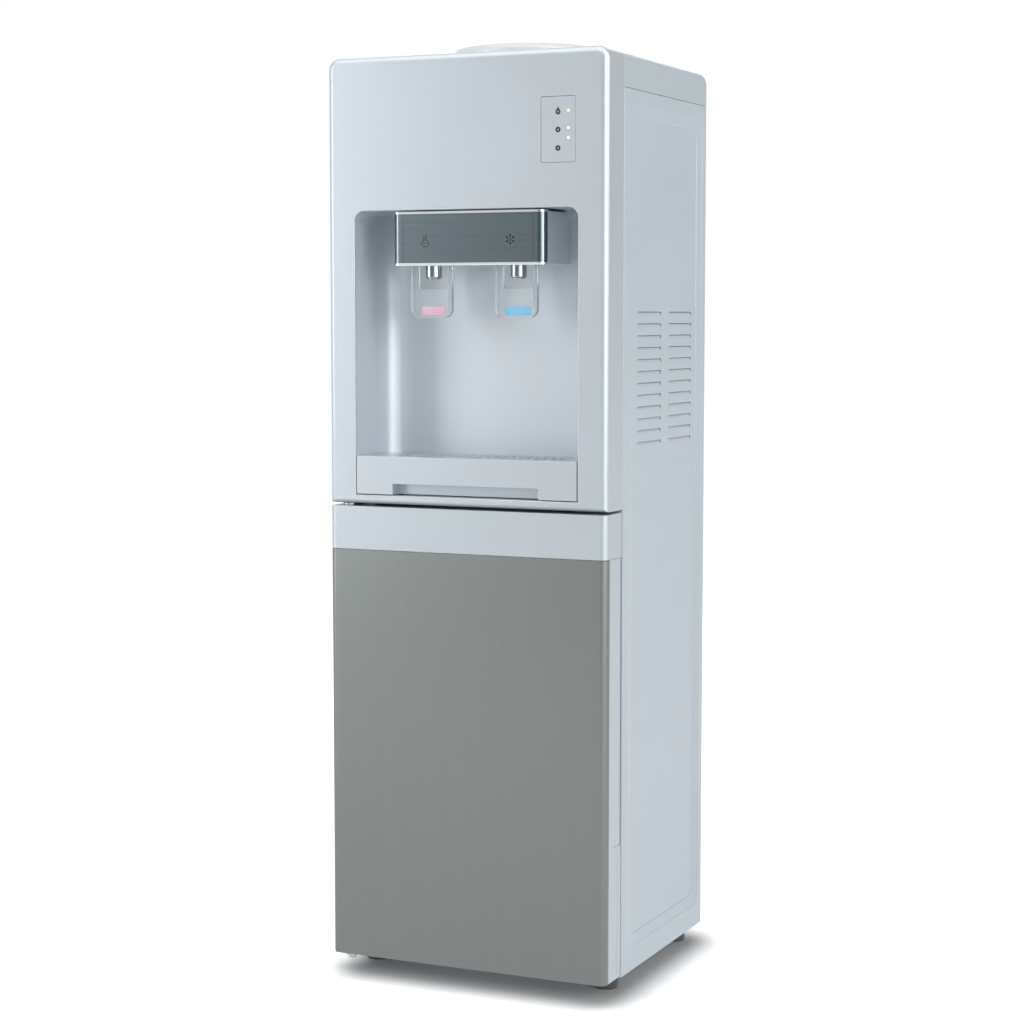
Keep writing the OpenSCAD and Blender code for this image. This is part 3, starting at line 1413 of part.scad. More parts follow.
// Where the refrigerant lines meet the compressor and the condenser
stub_x = shell_x - shell_r - 12 - hose_gap;
cond_top = cond_z + (cond_rows - 1) * cond_pitch;
drier_x = -half_w + 36;
drier_y = bay_y + 46;
drier_z = base_top + 40;
module line(points, r) tube(straight_ends(points, 3), r, r > 2 ? 8 : 6, [0.3, 0.2, 1]);
module refrigerant_lines() placed() color(COPPER) {
    cond_x = cond_w / 2 + hose_gap;
    rise_x = -half_w + 9;
    // Compressor to the condenser's upper end
    line([[stub_x, shell_y + 14, shell_z + 84], [stub_x - 6, shell_y + 14, shell_z + 84],
          [stub_x - 38, shell_y + 22, shell_z + 86], [rise_x + 25, back_y - 26, shell_z + 90],
          [rise_x + 21, back_y + 2, shell_z + 104], [rise_x + 8, cond_y - 8, cond_z - 40],
          [rise_x, cond_y, cond_z + 10], [rise_x, cond_y, cond_z + 80],
          [rise_x, cond_y, cond_top - 20], [-cond_x - 16, cond_y, cond_top - 2],
          [-cond_x - 6, cond_y, cond_top], [-cond_x, cond_y, cond_top]], line_r);
    // Condenser's lower end to the filter drier
    line([[-cond_x, cond_y, cond_z], [-cond_x - 4, cond_y, cond_z], [-cond_x - 10, cond_y - 4, cond_z - 12],
          [-cond_x - 6, back_y + 6, cond_z - 40], [drier_x + 12, back_y - 30, cond_z - 54],
          [drier_x, drier_y + 6, drier_z + drier_l + 20], [drier_x, drier_y, drier_z + drier_l + 8],
          [drier_x, drier_y, drier_z + drier_l]], line_r - 0.6);
    translate([drier_x, drier_y, drier_z]) rotate_extrude() polygon([
        [0, -8], [2, -8], [drier_r, 0], [drier_r, drier_l - 9], [3, drier_l - 1], [3, drier_l + 2],
        [0, drier_l + 2]
    ]);
    // Filter drier to the two coils
    line([[drier_x, drier_y, drier_z - 7], [drier_x, drier_y, drier_z - 10],
          [drier_x + 24, bay_y + 12, drier_z - 12], [shell_x - 12, bay_y + 8, drier_z + 10],
          [shell_x + 78, bay_y + 14, drier_z + 50], [half_w - 36, bay_y + 70, drier_z + 90],
          [capillary_x, lines_y, bay_z - 14], [capillary_x, lines_y, bay_z + 20],
          [capillary_x, lines_y, deck_top + 20], [capillary_x - 6, lines_y, deck_top + 60],
          coil_out(20, -20), coil_out(5, 0), coil_out(hose_gap, 0)], capillary_r);
    // Both coils to the compressor
    line([[stub_x, shell_y - 18, shell_z + 60], [stub_x - 5, shell_y - 18, shell_z + 60],
          [stub_x - 16, shell_y + 30, shell_z + 64], [shell_x - 12, lines_y + 2, shell_z + 72],
          [shell_x + 68, lines_y + 1, shell_z + 88], [suction_x, lines_y, bay_z - 26],
          [suction_x, lines_y, bay_z + 20], [suction_x, lines_y, deck_top + 20],
          [suction_x - 6, lines_y, deck_top + 120],
          coil_out(24, coil_h - 30), coil_out(6, coil_h), coil_out(hose_gap, coil_h)], line_r);
}

module condenser() placed() color(BLACK) {
    x = cond_w / 2;
    wires = floor((cond_w - 10) / wire_pitch);
    for (i = [0:cond_rows - 1]) rod_x(-x, cond_y, cond_z + i * cond_pitch, cond_w, cond_r);
    for (i = [0:cond_rows - 2]) bend(i % 2 == 0 ? 1 : -1, x, cond_y, cond_z + (i + 0.5) * cond_pitch,
                                     cond_pitch / 2, cond_r);
    for (i = [0:wires], s = [-1, 1]) post(
        (i - wires / 2) * wire_pitch + s * wire_pitch / 4, cond_y + s * (cond_r + wire_r + hose_gap),
        cond_z - 4, cond_top - cond_z + 8, wire_r, $fn = 24
    );
    for (s = [-1, 1], z = [cond_z + cond_pitch, cond_top - cond_pitch])
        rod_y(s * (x - 10), panel_rear, z, cond_y - panel_rear, 3);
}

// Rear fittings

rocker_y = panel_rear - 2;
rocker_pin = 1;
module switch_housings() placed() color(BLACK) for (s = [0, 1])
    translate([switch_x + s * switch_gap, 0, switch_z]) difference() {
        union() {
            block([-switch_w / 2 - 1, panel_rear, -switch_h / 2 - 1],
                  [switch_w / 2 + 1, panel_rear + 2, switch_h / 2 + 1]);
            block([-switch_w / 2 + 0.15, panel_y - 14, -switch_h / 2 + 0.15],
                  [switch_w / 2 - 0.15, panel_rear + eps, switch_h / 2 - 0.15]);
        }
        block([-switch_w / 2 + 1.6, panel_y - 8, -switch_h / 2 + 1],
              [switch_w / 2 - 1.6, back_y + 5, switch_h / 2 - 1]);
        rod_x(-switch_w / 2 + 0.7, rocker_y, 0, switch_w - 1.4, rocker_pin + pivot_gap, $fn = 32);
    }

module rocker() translate([0, rocker_y, switch_z]) rotate([rocker_tilt, 0, 0]) {
    half = switch_h / 2 - 2;
    along_x(-switch_w / 2 + 2, switch_w - 4)
        polygon([[-1, -half], [3, -half], [5, 0], [3, half], [-1, half], [-4, 0]]);
    rod_x(-switch_w / 2 + 1, 0, 0, switch_w - 2, rocker_pin, $fn = 32);
}

module hot_switch() placed() color("firebrick") translate([switch_x, 0, 0]) rocker();
module cold_switch() placed() color("seagreen") translate([switch_x + switch_gap, 0, 0]) rocker();

module drain_spout() placed() color(WHITE) difference() {
    union() {
        rod_y(-hot_x, panel_y - 10, drain_z, drain_l + 10 + 2 * sheet_t, drain_r);
        rod_y(-hot_x, panel_rear, drain_z, 2.5, drain_r + 4);
    }
    rod_y(-hot_x, panel_y - 11, drain_z, big, drain_r - 2);
}

module drain_cap() placed() color(BLACK) difference() {
    rod_y(-hot_x, panel_rear + 3, drain_z, drain_l + cap_t, drain_r + fit_gap + cap_t);
    rod_y(-hot_x, panel_rear + 2, drain_z, drain_l + 1, drain_r + fit_gap);
}

module cord_gland() placed() color(BLACK) difference() {
    union() {
        rod_y(gland_x, panel_y - 6, gland_z, 20, gland_r + 2.7);
        rod_y(gland_x, panel_rear, gland_z, 4, gland_r + 6);
        rod_y(gland_x, panel_y - 4, gland_z, 4, gland_r + 5);
    }
    rod_y(gland_x, panel_y - 10, gland_z, 40, gland_r);
}

module screws() placed() color(CHROME) {
    rear_screw_places() rotate([90, 0, 0]) {
        translate([0, 0, -2]) cylinder(h = 2, r = screw_r);
        translate([0, 0, -eps]) cylinder(h = 8, r = shank_r);
    }
    mount_posts(foot_h - 2.5, 2.5, bolt_r + 2);
    mount_posts(foot_h - eps, base_t + grommet_h + feet_plate_t + 5, bolt_r);
    mount_posts(base_top + grommet_h + feet_plate_t + 1.5, 3, bolt_r + 3);
}

base_plate();
feet();
side_panel_left();
side_panel_right();
rear_panel();
top_cover();
bottle_collar();
bottle_probe();
front_fascia();
niche_liner();
tap_box();
tap_bezel();
tap_plate();
indicator_plate();
indicator_lights();
control_board();
tap_bodies();
nozzles();
hot_lever();
cold_lever();
hot_lever_mark();
cold_lever_mark();
hot_valve_stem();
cold_valve_stem();
hot_valve_spring();
cold_valve_spring();
drip_tray();
drip_grille();
door_skin();
door_band();
door_frame();
door_foam();
door_liner();
door_gasket();
hinge_brackets();
fridge_liner();
fridge_foam();
fridge_shelf();
tank_deck();
tank_bracket();
cold_tank();
cold_tank_foam();
evaporator_coils();
hot_tank();
band_heater();
hot_tank_foam();
thermostats();
water_tubes();
compressor();
compressor_grommets();
terminal_cover();
refrigerant_lines();
condenser();
hot_switch();
cold_switch();
switch_housings();
drain_spout();
drain_cap();
cord_gland();
screws();
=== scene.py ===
# Looks of a free-standing water dispenser with a small cold cabinet under its tap niche
import json
import logging
import math
from collections.abc import Callable, Mapping, Sequence
from dataclasses import dataclass
from enum import Enum

import bpy
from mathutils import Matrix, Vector

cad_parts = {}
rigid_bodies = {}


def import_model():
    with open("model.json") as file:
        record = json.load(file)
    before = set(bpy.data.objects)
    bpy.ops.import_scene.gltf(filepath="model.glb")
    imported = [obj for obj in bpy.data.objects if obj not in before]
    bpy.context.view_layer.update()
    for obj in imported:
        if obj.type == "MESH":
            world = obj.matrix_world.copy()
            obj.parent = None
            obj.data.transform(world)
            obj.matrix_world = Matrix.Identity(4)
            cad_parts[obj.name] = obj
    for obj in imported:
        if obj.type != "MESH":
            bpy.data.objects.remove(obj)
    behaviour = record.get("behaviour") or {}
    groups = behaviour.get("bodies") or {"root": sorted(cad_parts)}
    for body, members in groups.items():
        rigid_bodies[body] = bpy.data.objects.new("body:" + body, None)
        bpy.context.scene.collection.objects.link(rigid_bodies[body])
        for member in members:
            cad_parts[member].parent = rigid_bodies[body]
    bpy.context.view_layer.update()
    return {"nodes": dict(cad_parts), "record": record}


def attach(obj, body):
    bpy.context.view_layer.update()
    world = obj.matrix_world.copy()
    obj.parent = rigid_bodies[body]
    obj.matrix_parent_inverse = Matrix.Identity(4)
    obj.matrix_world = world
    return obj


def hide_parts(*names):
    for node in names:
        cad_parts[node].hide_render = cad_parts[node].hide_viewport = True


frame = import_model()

log = logging.getLogger("dispenser")

# Metres in a millimetre, and the place of the front face along Y
MM = 0.001
FRONT_Y = -161.0
# How far in millimetres a corner may lie off the plane that a test names
SLACK = 0.02
# How far a cutting block runs past the piece that it cuts
PAST = 5.0

Pair = tuple[float, float]
Point = tuple[float, float, float]
Where = Callable[[Vector], bool]


def at(x: float, depth: float, z: float) -> Vector:
    """Turn a place in millimetres into metres in the frame.

    Args:
        x: Distance to the right of the middle.
        depth: Distance behind the front face.
        z: Height above the floor.

    Returns:
        The place in metres.
    """
    return Vector((x, FRONT_Y + depth, z)) * MM


def spot(co: Vector) -> Vector:
    """Turn a mesh point in metres back into millimetres, with the depth as its Y."""
    return Vector((co.x / MM, co.y / MM - FRONT_Y, co.z / MM))


class Axis(Enum):
    """Directions of the frame."""

    X = 0
    Y = 1
    Z = 2

    @property
    def vector(self) -> Vector:
        """Unit vector along the axis."""
        return Vector([1.0 if i == self.value else 0.0 for i in range(3)])

    @property
    def turn(self) -> tuple[float, float, float]:
        """Rotation that lays an upright primitive along the axis."""
        quarter = math.pi / 2
        return {Axis.X: (0.0, quarter, 0.0), Axis.Y: (quarter, 0.0, 0.0),
                Axis.Z: (0.0, 0.0, 0.0)}[self]


def everywhere(_: Vector) -> bool:
    """Accept any place."""
    return True


def beyond(x: float) -> Where:
    """Make a test for places at or to the right of a plane."""
    return lambda p: p.x > x - SLACK


def before(depth: float) -> Where:
    """Make a test for places at or in front of a depth."""
    return lambda p: p.y < depth + SLACK


def behind(depth: float) -> Where:
    """Make a test for places at or behind a depth."""
    return lambda p: p.y > depth - SLACK


def above(z: float) -> Where:
    """Make a test for places at or above a height."""
    return lambda p: p.z > z - SLACK


def below(z: float) -> Where:
    """Make a test for places at or below a height."""
    return lambda p: p.z < z + SLACK


def both(first: Where, second: Where) -> Where:
    """Join two tests that a place has to pass."""
    return lambda p: first(p) and second(p)


class Element(Enum):
    """What a selection picks, as the select modes of the mesh editor."""

    POINT = (True, False, False)
    EDGE = (False, True, False)
    FACE = (False, False, True)


class Workpiece:
    """One mesh on the bench, shaped with the modeller's hand tools."""

    def __init__(self, obj: bpy.types.Object, name: str) -> None:
        """Take over an object, name it and bring its mesh to the origin.

        Args:
            obj: The object to shape.
            name: The name of the piece.
        """
        self.obj = obj
        obj.name = name
        obj.data.name = name
        self.freeze()

    @staticmethod
    def clear() -> None:
        """Deselect every object."""
        for obj in bpy.context.view_layer.objects:
            obj.select_set(False)

    @classmethod
    def block(cls, name: str, low: Point, high: Point) -> "Workpiece":
        """Start from a cube stretched between two corners.

        Args:
            name: The name of the piece.
            low: The corner with the least values, in millimetres.
            high: The corner opposite.

        Returns:
            The workpiece.
        """
        cls.clear()
        size = [(h - l) * MM for l, h in zip(low, high)]
        middle = at(*((l + h) / 2 for l, h in zip(low, high)))
        bpy.ops.mesh.primitive_cube_add(size=1, location=middle)
        bpy.context.object.scale = size
        return cls(bpy.context.object, name)

    @classmethod
    def rod(cls, name: str, middle: Point, radius: float, length: float, axis: Axis,
            sides: int = 48) -> "Workpiece":
        """Start from a cylinder.

        Args:
            name: The name of the piece.
            middle: Its middle in millimetres.
            radius: Its radius.
            length: Its length along the axis.
            axis: The direction that it lies in.
            sides: Number of sides.

        Returns:
            The workpiece.
        """
        cls.clear()
        bpy.ops.mesh.primitive_cylinder_add(
            vertices=sides, radius=radius * MM, depth=length * MM, location=at(*middle),
            rotation=axis.turn)
        return cls(bpy.context.object, name)

    @classmethod
    def chain(cls, name: str, points: Sequence[Point]) -> "Workpiece":
        """Draw a line of edges by extruding one point along a list of places.

        Args:
            name: The name of the piece.
            points: The places in millimetres.

        Returns:
            The workpiece.
        """
        cls.clear()
        bpy.ops.mesh.primitive_plane_add(size=0.001, location=at(*points[0]))
        piece = cls(bpy.context.object, name)
        bpy.ops.object.mode_set(mode="EDIT")
        bpy.context.tool_settings.mesh_select_mode = Element.POINT.value
        bpy.ops.mesh.select_all(action="SELECT")
        bpy.ops.mesh.merge(type="CENTER")
        for a, b in zip(points, points[1:]):
            step = at(*b) - at(*a)
            bpy.ops.mesh.extrude_vertices_move(TRANSFORM_OT_translate={"value": step})
        bpy.ops.object.mode_set(mode="OBJECT")
        return piece

    @classmethod
    def slab(cls, name: str, points: Sequence[Point], travel: Point) -> "Workpiece":
        """Fill an outline and extrude it.

        Args:
            name: The name of the piece.
            points: Corners of the flat outline.
            travel: The extrusion in millimetres.

        Returns:
            The workpiece.
        """
        piece = cls.chain(name, points)

        def fill() -> None:
            """Close the outline, fill it and pull it into a solid."""
            bpy.ops.mesh.edge_face_add()
            bpy.ops.mesh.extrude_region_move(TRANSFORM_OT_translate={"value": Vector(travel) * MM})
            bpy.ops.mesh.select_all(action="SELECT")
            bpy.ops.mesh.normals_make_consistent(inside=False)

        return piece.edit(Element.POINT, everywhere, fill)

    @classmethod
    def turned(cls, name: str, half: Sequence[Pair], centre: Point, axis: Axis,
               steps: int = 40) -> "Workpiece":
        """Spin a profile round an axis, as on a lathe.

        Args:
            name: The name of the piece.
            half: The profile, as radius and place along the axis; a closed one repeats its start.
            centre: The point of the axis that the places are counted from.
            axis: The axis.
            steps: Number of steps round.

        Returns:
            The workpiece.
        """
        x, d, z = centre
        upright = axis is Axis.Z
        piece = cls.chain(name, [(x + r, d, z + a) if upright else (x + r, d + a, z)
                                 for r, a in half])

        def spin() -> None:
            """Spin the profile, join its seam and turn its faces outward."""
            bpy.ops.mesh.spin(steps=steps, angle=2 * math.pi, center=at(*centre), axis=axis.vector)
            bpy.ops.mesh.select_all(action="SELECT")
            bpy.ops.mesh.remove_doubles(threshold=1e-6)
            bpy.ops.mesh.normals_make_consistent(inside=False)

        return piece.edit(Element.POINT, everywhere, spin)

    def freeze(self) -> "Workpiece":
        """Bring the object's place and size into its mesh."""
        self.activate()
        bpy.ops.object.transform_apply(location=True, rotation=True, scale=True)
        return self

    def activate(self) -> None:
        """Select this object alone."""
        self.clear()
        self.obj.select_set(True)
        bpy.context.view_layer.objects.active = self.obj

    def pick(self, kind: Element, where: Where, run: Axis | None = None,
             area: float = 0.0) -> int:
        """Select elements whose corners all lie in a place.

        Args:
            kind: What to select.
            where: The test of a corner's place in millimetres.
            run: The direction that an edge has to have.
            area: The least area of a face in square millimetres.

        Returns:
            How many were selected.
        """
        mesh = self.obj.data
        inside = [where(spot(v.co)) for v in mesh.vertices]
        mesh.vertices.foreach_set("select", [False] * len(mesh.vertices))
        mesh.edges.foreach_set("select", [False] * len(mesh.edges))
        mesh.polygons.foreach_set("select", [False] * len(mesh.polygons))
        items = {Element.POINT: mesh.vertices, Element.EDGE: mesh.edges,
                 Element.FACE: mesh.polygons}[kind]
        count = 0
        for item in items:
            corners = [item.index] if kind is Element.POINT else list(item.vertices)
            if not all(inside[i] for i in corners):
                continue
            if run is not None:
                line = mesh.vertices[corners[1]].co - mesh.vertices[corners[0]].co
                if abs(line.dot(run.vector)) < 0.999 * line.length:
                    continue
            if area and item.area < area * MM * MM:
                continue
            item.select = True
            count += 1
            for i in corners:
                mesh.vertices[i].select = True
        return count

    def edit(self, kind: Element, where: Where, step: Callable[[], object],
             run: Axis | None = None, area: float = 0.0) -> "Workpiece":
        """Select by place and run one step in edit mode.

        Args:
            kind: What to select.
            where: The test of a corner's place in millimetres.
            step: The modelling step.
            run: The direction that an edge has to have.
            area: The least area of a face in square millimetres.

        Returns:
            The workpiece.
        """
        self.activate()
        bpy.context.tool_settings.mesh_select_mode = kind.value
        if not self.pick(kind, where, run, area):
            raise ValueError(f"{self.obj.name}: nothing lies in the place that a step works on")
        bpy.ops.object.mode_set(mode="EDIT")
        step()
        bpy.ops.object.mode_set(mode="OBJECT")
        return self

    def round(self, where: Where, width: float, segments: int = 4,
              run: Axis | None = None) -> "Workpiece":
        """Round the edges in a place by a width in millimetres."""
        return self.edit(Element.EDGE, where, lambda: bpy.ops.mesh.bevel(
            offset=width * MM, segments=segments, profile=0.5, affect="EDGES"), run)

    def drop(self, where: Where) -> "Workpiece":
        """Delete the faces in a place."""
        return self.edit(Element.FACE, where, lambda: bpy.ops.mesh.delete(type="FACE"))

    def flip(self) -> "Workpiece":
        """Turn every face over."""
        return self.edit(Element.FACE, everywhere, lambda: bpy.ops.mesh.flip_normals())

    def modify(self, kind: str, **settings: object) -> "Workpiece":
        """Add a modifier and apply it.

        Args:
            kind: The modifier's type.
            settings: Its settings by name.

        Returns:
            The workpiece.
        """
        self.activate()
        modifier = self.obj.modifiers.new(kind.title(), kind)
        for key, value in settings.items():
            setattr(modifier, key, value)
        bpy.ops.object.modifier_apply(modifier=modifier.name)
        return self

    def wall(self, thickness: float) -> "Workpiece":
        """Give a shell its wall, behind the faces."""
        return self.modify("SOLIDIFY", thickness=thickness * MM, offset=-1.0,
                           use_even_offset=True)

    def cut(self, tool: "Workpiece", operation: str = "DIFFERENCE") -> "Workpiece":
        """Cut with another workpiece, which is used up.

        Args:
            tool: The other workpiece.
            operation: The kind of cut: a difference, a union or an intersection.

        Returns:
            The workpiece.
        """
        self.modify("BOOLEAN", object=tool.obj, operation=operation, solver="EXACT")
        bpy.data.objects.remove(tool.obj)
        return self

    def soften(self, width: float, angle: float = 30.0, segments: int = 2) -> "Workpiece":
        """Round every edge that is sharper than an angle."""
        return self.modify("BEVEL", width=width * MM, segments=segments, limit_method="ANGLE",
                           angle_limit=math.radians(angle), use_clamp_overlap=True)

    def copy(self, name: str, shift: Point = (0.0, 0.0, 0.0)) -> "Workpiece":
        """Copy the piece with its own mesh and move the copy.

        Args:
            name: The name of the copy.
            shift: The move in millimetres.

        Returns:
            The copy.
        """
        self.activate()
        bpy.ops.object.duplicate()
        twin = bpy.context.object
        twin.location = Vector(shift) * MM
        return Workpiece(twin, name)

    def mirrored(self, name: str) -> "Workpiece":
        """Copy the piece to the other side of the middle.

        Args:
            name: The name of the copy.

        Returns:
            The copy.
        """
        self.activate()
        bpy.ops.object.duplicate()
        twin = bpy.context.object
        twin.scale.x = -1.0
        piece = Workpiece(twin, name)
        return piece.edit(Element.FACE, everywhere,
                          lambda: bpy.ops.mesh.normals_make_consistent(inside=False))

    def join(self, others: Sequence["Workpiece"]) -> "Workpiece":
        """Join other pieces into this one as loose parts.

        Args:
            others: The pieces that join it.

        Returns:
            The workpiece.
        """
        self.activate()
        for other in others:
            other.obj.select_set(True)
        bpy.ops.object.join()
        return self

    def smooth(self, angle: float = 32.0) -> "Workpiece":
        """Shade the curved faces smooth and let the flat faces lead their normals."""
        self.activate()
        bpy.ops.object.shade_smooth_by_angle(angle=math.radians(angle))
        return self.modify("WEIGHTED_NORMAL", keep_sharp=True, weight=60)

    def dress(self, finish: "Finish", body: str, slot: str,
              stands_for: Sequence[str] = ()) -> bpy.types.Object:
        """Give the piece its finish and hang it on its body.

        Args:
            finish: The finish of the whole piece.
            body: The body that it moves with.
            slot: The record's material slot; not used.
            stands_for: The nodes that it stands for.

        Returns:
            The finished object.
        """
        self.obj.data.materials.clear()
        self.obj.data.materials.append(finish.material())
        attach(self.obj, body)
        if stands_for:
            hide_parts(*stands_for)
        log.info("%s: %d faces, %s", self.obj.name, len(self.obj.data.polygons), finish.name)
        return self.obj


def linear(code: str, alpha: float = 1.0) -> tuple[float, float, float, float]:
    """Turn an sRGB hex code into linear colour.

    Args:
        code: Six hex digits after a number sign.
        alpha: The fourth value.

    Returns:
        Linear red, green, blue and alpha.
    """
    parts = [int(code[i:i + 2], 16) / 255 for i in (1, 3, 5)]
    r, g, b = (p / 12.92 if p <= 0.04045 else ((p + 0.055) / 1.055) ** 2.4 for p in parts)
    return r, g, b, alpha


def add_node(tree: bpy.types.NodeTree, kind: str, settings: Mapping[str, object] | None = None,
             links: Mapping[str, bpy.types.NodeSocket] | None = None) -> bpy.types.Node:
    """Add one node with its settings and links.

    Args:
        tree: The tree that gets it.
        kind: The node's type.
        settings: Values of its sockets by name, or of its own settings.
        links: Output sockets that feed its sockets by name.

    Returns:
        The node.
    """
    node = tree.nodes.new(kind)
    for key, value in (settings or {}).items():
        if not hasattr(node, key):
            node.inputs[key].default_value = value
        else:
            setattr(node, key, value)
    for key, socket in (links or {}).items():
        tree.links.new(socket, node.inputs[key])
    return node


def combine(tree: bpy.types.NodeTree, operation: str, first: bpy.types.NodeSocket,
            second: bpy.types.NodeSocket) -> bpy.types.NodeSocket:
    """Add a math node that works on two values.

    Args:
        tree: The tree that gets it.
        operation: What it does with the values.
        first: The first value.
        second: The second value.

    Returns:
        The result.
    """
    node = add_node(tree, "ShaderNodeMath", {"operation": operation})
    tree.links.new(first, node.inputs[0])
    tree.links.new(second, node.inputs[1])
    return node.outputs[0]


@dataclass(frozen=True)
class Finish:
    """A real material with its surface. Sizes are in millimetres, colours in sRGB hex."""

    name: str
    light: str
    dark: str
    rough: Pair
    grain: Point = (0.8, 0.8, 0.8)
    blotch: float = 90.0
    relief: float = 0.02
    metallic: float = 0.0
    ior: float = 1.5
    coat: float = 0.0
    coat_rough: float = 0.08
    anisotropy: float = 0.0
    clearness: float = 0.0
    glow: float = 0.0

    def material(self) -> bpy.types.Material:
        """Make the material once, and give the same one again afterwards.

        Returns:
            The material.
        """
        known = bpy.data.materials.get(self.name)
        if known is not None:
            return known
        made = bpy.data.materials.new(self.name)
        made.use_nodes = True
        tree = made.node_tree
        tree.nodes.clear()
        shader = add_node(tree, "ShaderNodeBsdfPrincipled", {
            "Metallic": self.metallic, "IOR": self.ior, "Coat Weight": self.coat,
            "Coat Roughness": self.coat_rough, "Anisotropic": self.anisotropy,
            "Transmission Weight": self.clearness})
        if self.glow:
            shader.inputs["Emission Color"].default_value = linear(self.light)
            shader.inputs["Emission Strength"].default_value = self.glow
        add_node(tree, "ShaderNodeOutputMaterial", links={"Surface": shader.outputs["BSDF"]})
        where = add_node(tree, "ShaderNodeTexCoord").outputs["Object"]
        self.surface(tree, shader, where)
        return made

    def pattern(self, tree: bpy.types.NodeTree, where: bpy.types.NodeSocket,
                size: Point, detail: float = 3.0) -> bpy.types.NodeSocket:
        """Add a cloudy pattern.

        Args:
            tree: The material's tree.
            where: The place on the piece.
            size: The size of its features along each axis in millimetres.
            detail: How many finer layers it has.

        Returns:
            The pattern, from nought to one.
        """
        spread = add_node(tree, "ShaderNodeMapping", {"Scale": tuple(1 / (s * MM) for s in size)},
                          {"Vector": where})
        noise = add_node(tree, "ShaderNodeTexNoise", {"Scale": 1.0, "Detail": detail},
                         {"Vector": spread.outputs["Vector"]})
        return noise.outputs["Fac"]

    @staticmethod
    def cells(tree: bpy.types.NodeTree, where: bpy.types.NodeSocket,
              size: float) -> bpy.types.Node:
        """Add a pattern of cells, each with its own three random values.

        Args:
            tree: The material's tree.
            where: The place on the piece.
            size: The width of a cell in millimetres.

        Returns:
            The node with the three values.
        """
        spread = add_node(tree, "ShaderNodeMapping", {"Scale": (1 / (size * MM),) * 3},
                          {"Vector": where})
        cells = add_node(tree, "ShaderNodeTexVoronoi", {"Scale": 1.0},
                         {"Vector": spread.outputs["Vector"]})
        return add_node(tree, "ShaderNodeSeparateColor", links={"Color": cells.outputs["Color"]})

    def surface(self, tree: bpy.types.NodeTree, shader: bpy.types.Node,
                where: bpy.types.NodeSocket) -> None:
        """Lay fine grain and slow changes of tone over the base colour.

        Args:
            tree: The material's tree.
            shader: The node of the surface.
            where: The place on the piece.
        """
        grain = self.pattern(tree, where, self.grain)
        cloud = self.pattern(tree, where, (self.blotch,) * 3, 2.0)
        self.tone(tree, shader, combine(tree, "ADD", grain, cloud), (0.45, 1.55))
        self.gloss(tree, shader, cloud)
        self.bump(tree, shader, grain)

    def tone(self, tree: bpy.types.NodeTree, shader: bpy.types.Node, mask: bpy.types.NodeSocket,
             span: Pair) -> None:
        """Blend the dark into the light colour by a mask.

        Args:
            tree: The material's tree.
            shader: The node of the surface.
            mask: The mask.
            span: The mask's values that give the dark and the light colour.
        """
        share = add_node(tree, "ShaderNodeMapRange", {"From Min": span[0], "From Max": span[1]},
                         {"Value": mask})
        mix = add_node(tree, "ShaderNodeMix", {"data_type": "RGBA"})
        mix.inputs[6].default_value = linear(self.dark)
        mix.inputs[7].default_value = linear(self.light)
        tree.links.new(share.outputs["Result"], mix.inputs[0])
        tree.links.new(mix.outputs[2], shader.inputs["Base Color"])

    def gloss(self, tree: bpy.types.NodeTree, shader: bpy.types.Node,
              mask: bpy.types.NodeSocket) -> None:
        """Let the roughness wander between its two values.

        Args:
            tree: The material's tree.
            shader: The node of the surface.
            mask: The mask.
        """
        rough = add_node(tree, "ShaderNodeMapRange", {
            "From Min": 0.2, "From Max": 0.8, "To Min": self.rough[0], "To Max": self.rough[1]},
            {"Value": mask})
        tree.links.new(rough.outputs["Result"], shader.inputs["Roughness"])

    def bump(self, tree: bpy.types.NodeTree, shader: bpy.types.Node,
             mask: bpy.types.NodeSocket) -> None:
        """Raise the surface by the relief where the mask is high.

        Args:
            tree: The material's tree.
            shader: The node of the surface.
            mask: The mask.
        """
        bump = add_node(tree, "ShaderNodeBump", {"Strength": 1.0, "Distance": self.relief * MM},
                        {"Height": mask})
        tree.links.new(bump.outputs["Normal"], shader.inputs["Normal"])


@dataclass(frozen=True)
class FlakeLacquer(Finish):
    """Silver lacquer over moulded plastic: small flakes that catch the light one by one."""

    flake: float = 0.5

    def surface(self, tree: bpy.types.NodeTree, shader: bpy.types.Node,
                where: bpy.types.NodeSocket) -> None:
        """Scatter flakes, each with its own tone, under a thin orange peel.

        Args:
            tree: The material's tree.
            shader: The node of the surface.
            where: The place on the piece.
        """
        shade = self.cells(tree, where, self.flake)
        self.tone(tree, shader, shade.outputs[0], (0.0, 1.0))
        self.gloss(tree, shader, self.pattern(tree, where, (self.blotch,) * 3))
        self.bump(tree, shader, self.pattern(tree, where, self.grain))


@dataclass(frozen=True)
class ZincSheet(Finish):
    """Hot-dip galvanised sheet: flat crystals with sharp borders."""

    spangle: float = 9.0

    def surface(self, tree: bpy.types.NodeTree, shader: bpy.types.Node,
                where: bpy.types.NodeSocket) -> None:
        """Give each crystal its own tone and gloss.

        Args:
            tree: The material's tree.
            shader: The node of the surface.
            where: The place on the piece.
        """
        shade = self.cells(tree, where, self.spangle)
        self.tone(tree, shader, shade.outputs[0], (0.0, 1.0))
        self.gloss(tree, shader, shade.outputs[1])
        self.bump(tree, shader, self.pattern(tree, where, self.grain))


